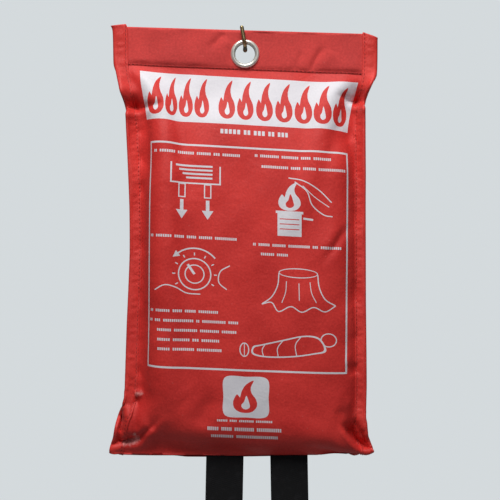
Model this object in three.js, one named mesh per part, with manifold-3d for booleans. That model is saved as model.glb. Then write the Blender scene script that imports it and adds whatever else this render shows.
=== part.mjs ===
// A soft fire-blanket pouch on a screw hook.
//
// Two coated-cloth panels are sewn together round a folded blanket. A heading band closes the top and
// carries a metal eyelet, a folded binding strip wraps each side edge, and two webbing pull tabs hang
// from the bottom hem. The eyelet hangs on a plain screw hook.
//
// Millimetres. +X is to the right as seen from the front, -Y is the front, +Z is up. The origin is
// where the axis of the hook's shank enters the wall, so y = 0 is the wall's face, and the pouch's
// back lies on it.

import * as THREE from "three";
import { mergeVertices } from "three/addons/utils/BufferGeometryUtils.js";
import Module from "manifold-3d";

const wasm = await Module();
wasm.setup();

// ------------------------------------------------ driving dimensions

const GAP = 0.3; // clearance between neighbouring pieces
const CENTRE_Y = -9.6; // depth of the heading, of the side seams at the top and of the bottom hem

// The heading's top edge, the seam under it and the bottom hem, each as the height at its left and
// right end.
const TOP_EDGE = { left: 12.4, right: 7.4 };
const SEAM = { left: -12.2, right: -19.2 };
const HEM = { left: -264.2, right: -262.2 };
const HEM_BOW = 2.2; // the hem sags this much in the middle
const BINDING_RISE = 1.8; // the bindings stand this much above the heading's top edge

// The outline of the bound side edges, as [height, x]: full width at the heading, drawn in by the
// filling, and full width again at the two ears of the hem.
const LEFT_EDGE = [
  [16, -86.3], [0, -84.6], [-18, -83.6], [-30, -81.4], [-40, -77.3], [-52, -77.1], [-104, -74.6],
  [-135, -74.4], [-181, -76.8], [-226, -78.0], [-237, -80.6], [-249, -85.0], [-265, -89.3],
];
const RIGHT_EDGE = [
  [12, 86.3], [-12, 85.8], [-19, 84.8], [-28, 80.9], [-37, 77.6], [-52, 78.0], [-104, 77.7],
  [-165, 77.9], [-220, 78.9], [-240, 78.2], [-250, 79.6], [-257, 81.4], [-264, 86.0],
];
// Depth of the side seams, as [height, y]: a kink towards the wall under the heading, then half the
// filling's depth.
const SEAM_DEPTH = [
  [16, CENTRE_Y], [-16, CENTRE_Y], [-38, -8.0], [-56, -11.6], [-130, -12.2], [-225, -11.6],
  [-248, CENTRE_Y], [-266, CENTRE_Y],
];

const FLANGE = { width: 9.0, thickness: 1.6 }; // the panels' flat margin outside the side stitching
const BODY = {
  rise: 12.2, // how far the front stands out from the seam's plane
  crown: 1.6, // extra height in the middle of the front
  backRise: 13.0, // how far the back would stand behind the seam, before the wall flattens it
  topSlope: 34, // length over which the front rises under the heading
  bottomSlope: 25, // length over which it falls to the hem
  plateau: 54, // half width of the folded blanket's flat face
};
// Soft creases in the front, as [x, z] ends, half width and depth (positive is pushed in).
const CREASES = [
  { from: [-78, -40], to: [-54, -41], width: 4.5, depth: 3.2 },
  { from: [78, -37], to: [62, -35], width: 4.5, depth: 3.2 },
  { from: [-69, -222], to: [-68, -240], width: 4.0, depth: 3.4 },
  { from: [72, -224], to: [62, -244], width: 4.5, depth: 3.0 },
  { from: [67, -114], to: [50, -147], width: 6.0, depth: 1.0 },
  { from: [-84, -256], to: [-54, -238], width: 5.0, depth: -2.2 },
  { from: [78, -258], to: [60, -246], width: 4.5, depth: -1.8 },
];

const HEADING = {
  thickness: 2.2, // all the folded layers
  leaf: 1.0, // the front leaf that laps over the pouch's lip
  lap: 3.5, // how far the leaf laps down over the lip, clear of the eyelet
};
const LIP = 1.0; // thickness of the pouch's top lip, behind the leaf
const LIP_FOOT = 0.0012; // level, a gap below the heading, at which the lip ends
const BODY_TOP = 0.0035; // level at which the two panels start
const HEM_THICKNESS = 4.2;

const BINDING = { wall: 0.9, width: 8.3, opening: 2.8 };

const EYELET = {
  centre: [0, -4.9],
  bore: 6.4, // radius of the hole
  barrel: 7.1, // outer radius of the tube through the heading
  rim: 9.3, // outer radius of the rolled front rim
  rimHeight: 1.3,
  washer: 9.0, // outer radius of the washer behind
  washerThickness: 0.7,
};

const HOOK = {
  wire: 1.25, // wire radius
  bendRadius: 4.2, // of the wire's centre line
  reach: -11.2, // depth at which the bend starts
  tipHeight: 12.0,
  lean: 10, // degrees that the hook's tip leans to the left
  thread: 14, // length of screw behind the wall's plane
  threadCrest: 1.45,
  threadPitch: 1.4,
};

const TAB = {
  width: 25,
  thickness: 1.4,
  left: { x: -13.1, foot: -14.6 }, // x of the middle at the hem and at the free end
  right: { x: 28.5, foot: 29.8 },
  insert: 7, // how far the tab goes up into the hem
  free: 74, // length below the hem
  curl: 1.6, // how far the free end stands forward
};

const COLOURS = {
  cloth: 0xb52a26,
  binding: 0xc8322b,
  nickel: 0xb9bab4,
  brass: 0x7d6a3f,
  webbing: 0x17181b,
};

// ------------------------------------------------ helpers

const mix = THREE.MathUtils.lerp;
const clamp01 = (v) => THREE.MathUtils.clamp(v, 0, 1);

// A smooth function through [height, value] points listed from the top down.
function through(points) {
  const rising = [...points].reverse();
  const heights = rising.map(([height]) => height);
  const values = rising.map(([, value]) => value);
  const curve = new THREE.CubicInterpolant(heights, values, 1);
  return (height) => curve.evaluate(THREE.MathUtils.clamp(height, heights[0], heights.at(-1)))[0];
}

// Shares from 0 to 1 in a number of steps, closer together towards both ends.
const eased = (steps) =>
  Array.from({ length: steps + 1 }, (_, i) => 0.5 - 0.5 * Math.cos((Math.PI * i) / steps));

// A closed solid between two grids of points, each an array of rows of [x, y, z]. Both grids run left
// to right and top to bottom as seen from the front; front is the nearer one.
function slab(front, back) {
  const rows = front.length;
  const columns = front[0].length;
  const position = [...front.flat(2), ...back.flat(2)];
  const index = [];
  const near = (r, c) => r * columns + c;
  const far = (r, c) => rows * columns + near(r, c);
  const quad = (a, b, c, d) => index.push(a, b, c, a, c, d);
  for (let r = 0; r < rows - 1; r++) {
    for (let c = 0; c < columns - 1; c++) {
      quad(near(r, c), near(r + 1, c), near(r + 1, c + 1), near(r, c + 1));
      quad(far(r, c), far(r, c + 1), far(r + 1, c + 1), far(r + 1, c));
    }
    quad(near(r, 0), far(r, 0), far(r + 1, 0), near(r + 1, 0));
    quad(near(r, columns - 1), near(r + 1, columns - 1), far(r + 1, columns - 1), far(r, columns - 1));
  }
  for (let c = 0; c < columns - 1; c++) {
    quad(near(0, c), near(0, c + 1), far(0, c + 1), far(0, c));
    quad(near(rows - 1, c), far(rows - 1, c), far(rows - 1, c + 1), near(rows - 1, c + 1));
  }
  const geometry = new THREE.BufferGeometry();
  geometry.setAttribute("position", new THREE.Float32BufferAttribute(position, 3));
  geometry.setIndex(index);
  return geometry;
}

function toSolid(geometry) {
  const bare = geometry.clone();
  bare.deleteAttribute("normal");
  bare.deleteAttribute("uv");
  const merged = mergeVertices(bare, 1e-4);
  return new wasm.Manifold(
    new wasm.Mesh({
      numProp: 3,
      vertProperties: new Float32Array(merged.attributes.position.array),
      triVerts: new Uint32Array(merged.index.array),
    }),
  );
}

function fromSolid(solid) {
  const mesh = solid.getMesh();
  const geometry = new THREE.BufferGeometry();
  geometry.setAttribute("position", new THREE.BufferAttribute(new Float32Array(mesh.vertProperties), 3));
  geometry.setIndex(new THREE.BufferAttribute(new Uint32Array(mesh.triVerts), 1));
  return geometry;
}

function named(name, geometry, colour, roughness, metalness = 0) {
  geometry.computeVertexNormals();
  const material = new THREE.MeshStandardMaterial({ color: colour, roughness, metalness });
  const mesh = new THREE.Mesh(geometry, material);
  mesh.name = name;
  return mesh;
}

// ------------------------------------------------ the pouch's layout

const leftEdge = through(LEFT_EDGE);
const rightEdge = through(RIGHT_EDGE);
const seamDepth = through(SEAM_DEPTH);

// Heights at the two side edges. Level runs from -1 at the heading's top edge, over 0 at the seam, to
// 1 at the hem.
function edgeHeights(level) {
  const [from, to] = level < 0 ? [TOP_EDGE, SEAM] : [SEAM, HEM];
  const share = level < 0 ? level + 1 : level;
  return { left: mix(from.left, to.left, share), right: mix(from.right, to.right, share) };
}

// The two ends of a level, each as {x, y, z}.
function ends(level, inset = 0) {
  const { left, right } = edgeHeights(level);
  return {
    left: { x: leftEdge(left) + inset, y: seamDepth(left), z: left },
    right: { x: rightEdge(right) - inset, y: seamDepth(right), z: right },
  };
}

// A point of a level at a share of the way from its left end to its right end, in the seams' plane.
function across(level, share, inset = 0) {
  const { left, right } = ends(level, inset);
  const sag = level > 0 ? HEM_BOW * level ** 3 * 4 * share * (1 - share) : 0;
  return {
    x: mix(left.x, right.x, share),
    y: mix(left.y, right.y, share),
    z: mix(left.z, right.z, share) - sag,
  };
}

const easeOut = (r) => (r < 1 ? 1.5 * r - 0.5 * r ** 3 : 1);
const quarterRound = (r) => Math.sqrt(1 - (1 - clamp01(r)) ** 2);

// How full the pouch is at a point, 0 at its seams to 1 over the folded blanket.
function fullness(x, level) {
  const { left, right } = ends(level, FLANGE.width);
  const middle = (left.x + right.x) / 2;
  const stitch = (right.x - left.x) / 2;
  const fromStitch = stitch - Math.abs(x - middle);
  const sideways = quarterRound(fromStitch / (stitch - BODY.plateau));
  const height = (SEAM.left + SEAM.right - HEM.left - HEM.right) / 2;
  const down = easeOut((level * height) / BODY.topSlope);
  const up = easeOut(((1 - level) * height) / BODY.bottomSlope);
  return sideways * down * up;
}

// How far the creases push the front in at a point.
function creased(x, z) {
  const point = new THREE.Vector2(x, z);
  let push = 0;
  for (const { from, to, width, depth } of CREASES) {
    const start = new THREE.Vector2(...from);
    const along = new THREE.Vector2(...to).sub(start);
    const share = clamp01(point.clone().sub(start).dot(along) / along.lengthSq());
    const away = start.addScaledVector(along, share).distanceTo(point);
    push += depth * Math.exp(-((away / width) ** 2)) * (1 - 0.6 * share);
  }
  return push;
}

// Shares of the width at which the pouch has columns: the flanges' edges, and denser towards the
// stitching.
function columnShares(level) {
  const { left, right } = ends(level, BINDING.wall + GAP);
  const flange = (FLANGE.width - BINDING.wall - GAP) / (right.x - left.x);
  return [0, ...eased(18).map((share) => mix(flange, 1 - flange, share)), 1];
}

function pouch() {
  const front = [];
  const back = [];
  const inset = BINDING.wall + GAP;
  const lipTop = -(HEADING.lap - GAP) / (TOP_EDGE.left - SEAM.left);
  const lipFront = CENTRE_Y - HEADING.thickness / 2 + HEADING.leaf + GAP;
  for (const level of [lipTop, LIP_FOOT]) {
    const points = columnShares(level).map((share) => across(level, share, inset + 1));
    front.push(points.map(({ x, z }) => [x, lipFront, z]));
    back.push(points.map(({ x, z }) => [x, lipFront + LIP, z]));
  }
  for (const share of eased(36)) {
    const level = mix(BODY_TOP, 1, share);
    const points = columnShares(level).map((share) => across(level, share, inset));
    const hem = THREE.MathUtils.smoothstep(level, 0.9, 0.985);
    const frontRow = [];
    const backRow = [];
    for (const { x, y, z } of points) {
      const full = fullness(x, level);
      const edge = Math.min(full * 8, 1);
      const half = mix(FLANGE.thickness, HEM_THICKNESS, hem * clamp01((70 - Math.abs(x)) / 12)) / 2;
      const crown = BODY.crown * full * (1 - (x / BODY.plateau) ** 2 * 0.5);
      frontRow.push([x, y - half - BODY.rise * full - crown + creased(x, z) * edge, z]);
      backRow.push([x, Math.min(0, y + half + BODY.backRise * full), z]);
    }
    front.push(frontRow);
    back.push(backRow);
  }
  let solid = toSolid(slab(front, back));
  for (const tab of [TAB.left, TAB.right]) {
    const slot = new THREE.BoxGeometry(TAB.width + 2 * GAP, TAB.thickness + 2 * GAP, 2 * (TAB.insert + GAP));
    slot.translate(tab.x, CENTRE_Y, hemHeight(tab.x));
    solid = solid.subtract(toSolid(slot));
  }
  return named("pouch", fromSolid(solid), COLOURS.cloth, 0.55);
}

// Height of the hem's edge at an x.
function hemHeight(x) {
  const { left, right } = ends(1, BINDING.wall + GAP);
  return across(1, (x - left.x) / (right.x - left.x), BINDING.wall + GAP).z;
}

// ------------------------------------------------ the heading, with its eyelet

function heading() {
  const inset = BINDING.wall + GAP;
  const frontY = CENTRE_Y - HEADING.thickness / 2;
  const backY = CENTRE_Y + HEADING.thickness / 2;
  const seamBack = frontY + HEADING.leaf;
  const height = TOP_EDGE.left - SEAM.left;
  const lapLevel = -HEADING.lap / height;
  const columns = 14;
  const row = (level, y) =>
    Array.from({ length: columns + 1 }, (_, c) => {
      const { x, z } = across(level, c / columns, inset);
      return [x, y, z];
    });
  const frontLevels = [-1, -0.6, lapLevel - 0.02, lapLevel + 0.02, 0];
  const front = frontLevels.map((level) => row(level, frontY));
  const back = [
    row(-1, backY),
    row(-0.6, backY),
    row(lapLevel, backY),
    row(lapLevel, seamBack),
    row(0, seamBack),
  ];
  const hole = new THREE.CylinderGeometry(EYELET.barrel + GAP, EYELET.barrel + GAP, 10, 36);
  hole.translate(EYELET.centre[0], CENTRE_Y, EYELET.centre[1]);
  const solid = toSolid(slab(front, back)).subtract(toSolid(hole));
  return named("heading", fromSolid(solid), COLOURS.cloth, 0.6);
}

// A ring turned about the Y axis through the eyelet's centre, from a closed profile of [radius, y]
// points.
function ring(name, profile) {
  const closed = [...profile, profile[0]].map(([radius, y]) => new THREE.Vector2(radius, y));
  const geometry = new THREE.LatheGeometry(closed, 40);
  geometry.translate(EYELET.centre[0], 0, EYELET.centre[1]);
  return named(name, geometry, COLOURS.nickel, 0.3, 0.9);
}

function eyelet() {
  const faceY = CENTRE_Y - HEADING.thickness / 2 - GAP;
  const backY = CENTRE_Y + HEADING.thickness / 2 + GAP;
  const crest = faceY - EYELET.rimHeight;
  const rimMiddle = (EYELET.bore + EYELET.rim) / 2;
  const profile = [
    [EYELET.barrel, faceY],
    [EYELET.rim, faceY],
    [EYELET.rim - 0.2, mix(faceY, crest, 0.6)],
    [rimMiddle + 0.6, crest],
    [rimMiddle - 0.6, crest],
    [EYELET.bore + 0.1, mix(faceY, crest, 0.5)],
    [EYELET.bore, backY + EYELET.washerThickness],
    [EYELET.barrel, backY + EYELET.washerThickness],
  ];
  return ring("eyelet", profile.reverse());
}

function eyeletWasher() {
  const backY = CENTRE_Y + HEADING.thickness / 2 + GAP;
  const inner = EYELET.barrel + GAP;
  const profile = [
    [inner, backY],
    [EYELET.washer, backY],
    [EYELET.washer - 0.3, backY + EYELET.washerThickness],
    [inner, backY + EYELET.washerThickness],
  ];
  return ring("eyelet_washer", profile);
}

// ------------------------------------------------ side bindings

// A strip folded round a side edge, from above the heading to the hem. side is "left" or "right".
function binding(side) {
  const inward = side === "left" ? 1 : -1;
  const height = TOP_EDGE[side] - SEAM[side];
  const levels = [-1 - BINDING_RISE / height, -1, -0.6, -HEADING.lap / height, ...eased(26)];
  const outer = [];
  const inner = [];
  const half = BINDING.opening / 2;
  const wall = BINDING.wall;
  for (const level of levels) {
    const { x, y, z } = ends(level)[side];
    const { left, right } = ends(level);
    const slope = (right.z - left.z) / (right.x - left.x);
    const at = (inset, depth) => [x + inward * inset, y + depth, z + slope * inward * inset];
    outer.push([
      at(BINDING.width, -half - wall),
      at(0.8, -half - wall),
      at(0, -half),
      at(0, half),
      at(0.8, half + wall),
      at(BINDING.width, half + wall),
    ]);
    inner.push([
      at(BINDING.width, -half),
      at(wall + 0.5, -half),
      at(wall, -half + 0.4),
      at(wall, half - 0.4),
      at(wall + 0.5, half),
      at(BINDING.width, half),
    ]);
  }
  const geometry = side === "left" ? slab(mirrored(outer), mirrored(inner)) : slab(outer, inner);
  return named(`binding_${side}`, geometry, COLOURS.binding, 0.5);
}

const mirrored = (grid) => grid.map((row) => [...row].reverse());

// ------------------------------------------------ pull tabs

function pullTab(side) {
  const { x, foot } = TAB[side];
  const top = hemHeight(x) + TAB.insert;
  const bottom = hemHeight(x) - TAB.free;
  const half = TAB.thickness / 2;
  const front = [];
  const back = [];
  const rows = 12;
  for (let i = 0; i <= rows; i++) {
    const z = mix(top, bottom, i / rows);
    const below = clamp01((hemHeight(x) - z) / TAB.free);
    const middle = mix(x, foot, below);
    const y = CENTRE_Y - TAB.curl * below ** 2;
    const row = (depth) => [-0.5, -0.25, 0.25, 0.5].map((share) => [middle + share * TAB.width, depth, z]);
    front.push(row(y - half));
    back.push(row(y + half));
  }
  return named(`pull_tab_${side}`, slab(front, back), COLOURS.webbing, 0.85);
}

// ------------------------------------------------ screw hook

function hook() {
  const { wire, bendRadius, reach, tipHeight, lean, thread, threadCrest, threadPitch } = HOOK;
  const route = new THREE.CurvePath();
  const shankEnd = new THREE.Vector3(0, reach, 0);
  route.add(new THREE.LineCurve3(new THREE.Vector3(0, 0, 0), shankEnd));
  const quarter = 0.5523 * bendRadius; // handle length of a cubic curve that follows a quarter circle
  const bendTop = new THREE.Vector3(0, reach - bendRadius, bendRadius);
  route.add(
    new THREE.CubicBezierCurve3(
      shankEnd,
      new THREE.Vector3(0, reach - quarter, 0),
      new THREE.Vector3(0, reach - bendRadius, bendRadius - quarter),
      bendTop,
    ),
  );
  route.add(new THREE.LineCurve3(bendTop, new THREE.Vector3(0, reach - bendRadius + 0.8, tipHeight)));
  const section = new THREE.Shape().absarc(0, 0, wire, 0, 2 * Math.PI);
  const along = { curveSegments: 6, steps: 20, extrudePath: route, bevelEnabled: false };
  const rod = new THREE.ExtrudeGeometry(section, along);
  const dome = new THREE.SphereGeometry(wire, 12, 8);
  dome.translate(0, reach - bendRadius + 0.8, tipHeight);
  const turns = Math.floor((thread - 3) / threadPitch);
  const profile = [new THREE.Vector2(0, thread), new THREE.Vector2(wire * 0.8, thread - 2.2)];
  for (let i = turns; i > 0; i--) {
    profile.push(new THREE.Vector2(threadCrest, (i - 0.35) * threadPitch));
    profile.push(new THREE.Vector2(wire * 0.82, (i - 0.7) * threadPitch));
  }
  profile.push(new THREE.Vector2(wire, 0), new THREE.Vector2(wire, -1), new THREE.Vector2(0, -1));
  const screw = new THREE.LatheGeometry(profile.reverse(), 12);
  const solid = toSolid(rod).add(toSolid(dome)).add(toSolid(screw));
  const mesh = named("hook", fromSolid(solid), COLOURS.brass, 0.4, 0.85);
  mesh.rotation.y = THREE.MathUtils.degToRad(-lean);
  return mesh;
}

// ------------------------------------------------ the object

const fireBlanket = new THREE.Group();
fireBlanket.name = "fire_blanket";
fireBlanket.add(
  hook(),
  heading(),
  eyelet(),
  eyeletWasher(),
  pouch(),
  binding("left"),
  binding("right"),
  pullTab("left"),
  pullTab("right"),
);

export default fireBlanket;
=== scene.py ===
"""A fire blanket in its hanging pouch, on a screw hook.

Lengths are in millimetres in the part's frame (+X right, -Y front, +Z up, the wall's face at y = 0) until a
mesh is made, when they become metres. Places on the flat pattern have x across and z up, as the empty panel
would hang.
"""

import math

import bpy
import numpy as np
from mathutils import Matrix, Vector, geometry, kdtree


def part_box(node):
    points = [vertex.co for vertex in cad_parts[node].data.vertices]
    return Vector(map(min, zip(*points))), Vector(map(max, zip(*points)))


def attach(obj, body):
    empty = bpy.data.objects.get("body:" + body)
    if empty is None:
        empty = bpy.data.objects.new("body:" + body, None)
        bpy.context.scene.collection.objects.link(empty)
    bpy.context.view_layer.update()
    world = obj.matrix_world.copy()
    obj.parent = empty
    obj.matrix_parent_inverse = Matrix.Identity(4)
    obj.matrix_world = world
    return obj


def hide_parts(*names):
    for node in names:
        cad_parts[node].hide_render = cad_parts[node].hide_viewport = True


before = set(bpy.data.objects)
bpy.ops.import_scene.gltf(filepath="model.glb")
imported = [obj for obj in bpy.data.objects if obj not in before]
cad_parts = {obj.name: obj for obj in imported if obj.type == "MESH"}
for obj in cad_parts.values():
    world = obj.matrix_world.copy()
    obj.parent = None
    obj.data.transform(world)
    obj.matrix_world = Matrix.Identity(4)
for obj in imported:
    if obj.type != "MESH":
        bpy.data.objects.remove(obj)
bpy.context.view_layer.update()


# ------------------------------------------------ Camera, lights and floor
# A long lens looks straight at the wall, level with the middle of the pouch. The light is soft and comes
# from above, as from a window or ceiling, and the floor lies well below the hanging pouch.

MM = 0.001
VIEW_CENTRE = (3.2, -132.4)
VIEW_DISTANCE = 1100
camera = bpy.data.objects.new("camera", bpy.data.cameras.new("camera"))
camera.data.lens = 120.7
camera.data.sensor_width = 36
camera.location = (VIEW_CENTRE[0] * MM, -VIEW_DISTANCE * MM, VIEW_CENTRE[1] * MM)
camera.rotation_euler = (math.radians(90), 0, 0)
bpy.context.scene.collection.objects.link(camera)
bpy.context.scene.camera = camera
bpy.context.scene.view_settings.view_transform = "Standard"


def soft_light(name, place, target, size, power, colour):
    light = bpy.data.lights.new(name, "AREA")
    light.shape = "DISK"
    light.size = size
    light.energy = power
    light.color = colour
    holder = bpy.data.objects.new(name, light)
    holder.location = place
    holder.rotation_euler = (Vector(target) - Vector(place)).to_track_quat("-Z", "Y").to_euler()
    bpy.context.scene.collection.objects.link(holder)


soft_light("key", (-0.12, -0.75, 0.95), (0, 0, -0.10), 0.8, 19.3, (1.0, 0.98, 0.95))
soft_light("fill", (0.7, -1.9, 0.25), (0, 0, -0.13), 1.2, 2.5, (0.95, 0.97, 1.0))
soft_light("rear", (0.3, 1.6, 0.9), (0, 0, -0.13), 1.2, 12, (1.0, 1.0, 1.0))



def fill_inputs(tree, node, **values):
    """Sets or links a node's inputs. A space in a name is an underscore, and a number has one before it."""
    for key, value in values.items():
        socket = node.inputs[int(key[1:])] if key[0] == "_" else node.inputs[key.replace("_", " ")]
        if isinstance(value, bpy.types.NodeSocket):
            tree.links.new(value, socket)
        else:
            socket.default_value = value


def add_node(tree, kind, settings=(), **values):
    node = tree.nodes.new(kind)
    for setting, value in dict(settings).items():
        setattr(node, setting, value)
    fill_inputs(tree, node, **values)
    return node


world = bpy.data.worlds.new("studio")
world.use_nodes = True
sky = world.node_tree
sky.nodes.clear()
seen = add_node(sky, "ShaderNodeLightPath").outputs["Is Camera Ray"]
surround = add_node(sky, "ShaderNodeBackground", Color=(0.86, 0.90, 0.92, 1), Strength=0.08)
backdrop = add_node(sky, "ShaderNodeBackground", Color=(0.66, 0.70, 0.72, 1))
choice = add_node(sky, "ShaderNodeMixShader", _0=seen, _1=surround.outputs[0], _2=backdrop.outputs[0])
add_node(sky, "ShaderNodeOutputWorld", Surface=choice.outputs[0])
bpy.context.scene.world = world


def new_material(name):
    """A material, its node tree and its shader."""
    material = bpy.data.materials.new(name)
    material.use_nodes = True
    return material, material.node_tree, material.node_tree.nodes["Principled BSDF"]


FLOOR_DROP = 1.1  # metres below the middle of the view
FLOOR_REACH = 1.1
floor_z = VIEW_CENTRE[1] * MM - FLOOR_DROP
floor_mesh = bpy.data.meshes.new("floor")
corners = [(FLOOR_REACH * x, FLOOR_REACH * y, floor_z) for x, y in ((-1, -1), (1, -1), (1, 1), (-1, 1))]
floor_mesh.from_pydata(corners, [], [(0, 1, 2, 3)])
floor = bpy.data.objects.new("floor", floor_mesh)
bpy.context.scene.collection.objects.link(floor)
floor_paint, tree, shader = new_material("floor_paint")
fill_inputs(tree, shader, Base_Color=(0.55, 0.57, 0.58, 1), Roughness=0.8)
floor_mesh.materials.append(floor_paint)


# ------------------------------------------------ The pouch's two panels, as they hang
# Two panels of coated cloth are sewn together at their sides and hem, and a folded blanket fills them. The
# cloth starts flat, the blanket thickens between the panels, and the cloth settles round it by the wall.


def node_box(node):
    """Lowest and highest corner of a CAD node, in millimetres."""
    low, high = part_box(node)
    return np.array(low) / MM, np.array(high) / MM


CLOTH_WIDTH = 168.4
HEADING_TOP = (12.4, 7.4)  # height of the heading's top edge at its left and right end
HEADING_SEAM = (-12.2, -19.2)
HEM = (-264.2, -262.2)
HEM_BOW = 2.0
TAKE_UP = 8.8  # length that the bulge takes from the cloth
SEAM_Y = float(node_box("heading")[0][1] + node_box("heading")[1][1]) / 2
MARGIN = 6.8  # the panels' flat margin outside the side stitching
GATHER = 0.026  # share by which the side bindings gather the panels' width
MARGIN_Y = -16.5  # where the margins' edges stand, which the bindings stiffen
EDGE_FOLD = 1.3  # how far the side binding stands outside the cloth's edge
EDGE_PULL = 0.06  # share of the way that each pass brings the sides and hem to where they hang
GRAVITY = 0.003  # fall in each step
DRIFT = 0.8  # share of its motion that the cloth keeps from step to step
LEFT_EDGE = [  # z and x of places down the pouch's hanging side
    (-266, -90.2), (-257, -87.8), (-246, -85.6), (-239.5, -84.3), (-234, -80.2), (-228, -78.0), (-181, -76.8),
    (-135, -74.4), (-104, -74.6), (-52, -77.1), (-40, -77.3), (-30, -81.4), (-18, -83.6), (0, -84.6),
    (16, -86.3),
]
RIGHT_EDGE = [
    (-266, 86.0), (-257, 81.4), (-250, 79.6), (-240, 78.2), (-220, 78.9), (-165, 77.9), (-104, 77.7),
    (-52, 78.0), (-37, 77.6), (-28, 80.9), (-19, 84.8), (-12, 85.8), (12, 86.3),
]
BLANKET = {
    "centre": (2.4, -13.4, -148.5),
    "half_width": 68.5,
    "front": 13.4,
    "back": 12.8,
    "up": 110.0,
    "down": 108.5,
    "slope": 0.022,
}


def top_and_foot(across):
    """Height of the flat pattern's top and foot at a share of the way across."""
    top = HEADING_TOP[0] + (HEADING_TOP[1] - HEADING_TOP[0]) * across
    return top, HEM[0] - TAKE_UP + (HEM[1] - HEM[0]) * across


def pattern(columns, rows):
    """x and z of a grid of points on the flat pattern, rows from the top down."""
    across = np.linspace(0, 1, columns + 1)[None, :]
    down = np.linspace(0, 1, rows + 1)[:, None]
    x = CLOTH_WIDTH * (across - 0.5) + 0 * down
    top, foot = top_and_foot(across)
    return x, top + (foot - top) * down


def seam_height(x):
    """Height of the heading's stitching on the flat pattern."""
    return np.interp(x, (-CLOTH_WIDTH / 2, CLOTH_WIDTH / 2), HEADING_SEAM)


def thread_pairs(x, z, bends):
    """Pairs of slices of the grid that threads join, each with the thread's length and stiffness."""
    body = np.clip((seam_height(x) - z) / 35, 0, 1) * np.clip((z - HEM[0] + TAKE_UP) / 35, 0, 1)
    flat = np.stack([x * (1 - GATHER * body), z], -1)
    rows, columns = x.shape
    pairs = []

    def join(a, b, stiffness, pushes):
        length = np.linalg.norm(flat[a] - flat[b], axis=-1).astype(np.float32)
        pairs.append(((slice(None), *a), (slice(None), *b), length, stiffness, pushes))

    everything = slice(None)
    for step, stiffness, pulls in ((1, 1.0, True), *bends):
        for start in range(2 * step):
            for count, down in ((columns, False), (rows, True)):
                first = slice(start, count - step, 2 * step)
                second = slice(start + step, count, 2 * step)
                a, b = [(s, everything) if down else (everything, s) for s in (first, second)]
                join(a, b, stiffness, pulls)
    for start in range(2):
        upper = slice(start, rows - 1, 2)
        lower = slice(start + 1, rows, 2)
        join((upper, slice(0, -1)), (lower, slice(1, None)), 0.4, True)
        join((upper, slice(1, None)), (lower, slice(0, -1)), 0.4, True)
    return pairs


def blanket_pushes(cloth, growth):
    """Moves both panels (front first) out of the folded blanket, grown to a share of its full thickness."""
    centre_y = SEAM_Y + (BLANKET["centre"][1] - SEAM_Y) * growth
    for panel, outward, thickness in ((cloth[0], -1, BLANKET["front"]), (cloth[1], 1, BLANKET["back"])):
        x = (panel[..., 0] - BLANKET["centre"][0]) / BLANKET["half_width"]
        along = panel[..., 2] - BLANKET["centre"][2] + BLANKET["slope"] * panel[..., 0]
        reach = np.where(along > 0, BLANKET["up"], BLANKET["down"])
        ends = np.where(along > 0, 5.0, 11.0) if outward < 0 else 14.0
        sides = 5.0 if outward < 0 else 12.0
        z = along / reach
        crown = 1.0
        if outward < 0:
            crown = 1.10 - 0.34 * np.abs(z + 0.1) ** 2.2 - 0.10 * np.abs(x) ** 2.2
        y = np.maximum((panel[..., 1] - centre_y) * outward, 0) / (thickness * growth * crown)
        rounding = 2.4
        level = np.abs(x) ** sides + np.abs(z) ** ends + y**rounding - 1
        slope_x = sides * np.abs(x) ** (sides - 1) * np.sign(x) / BLANKET["half_width"]
        slope_z = ends * np.abs(z) ** (ends - 1) * np.sign(z) / reach
        slope_y = rounding * (y + 0.02) ** (rounding - 1) / (thickness * growth)
        steepness = slope_x**2 + slope_y**2 + slope_z**2 + 1e-9
        depth = np.minimum(np.clip(-level, 0, None) / steepness, 1.5 / np.sqrt(steepness))
        panel[..., 0] += depth * slope_x
        panel[..., 1] += depth * slope_y * outward
        panel[..., 2] += depth * slope_z


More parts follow.
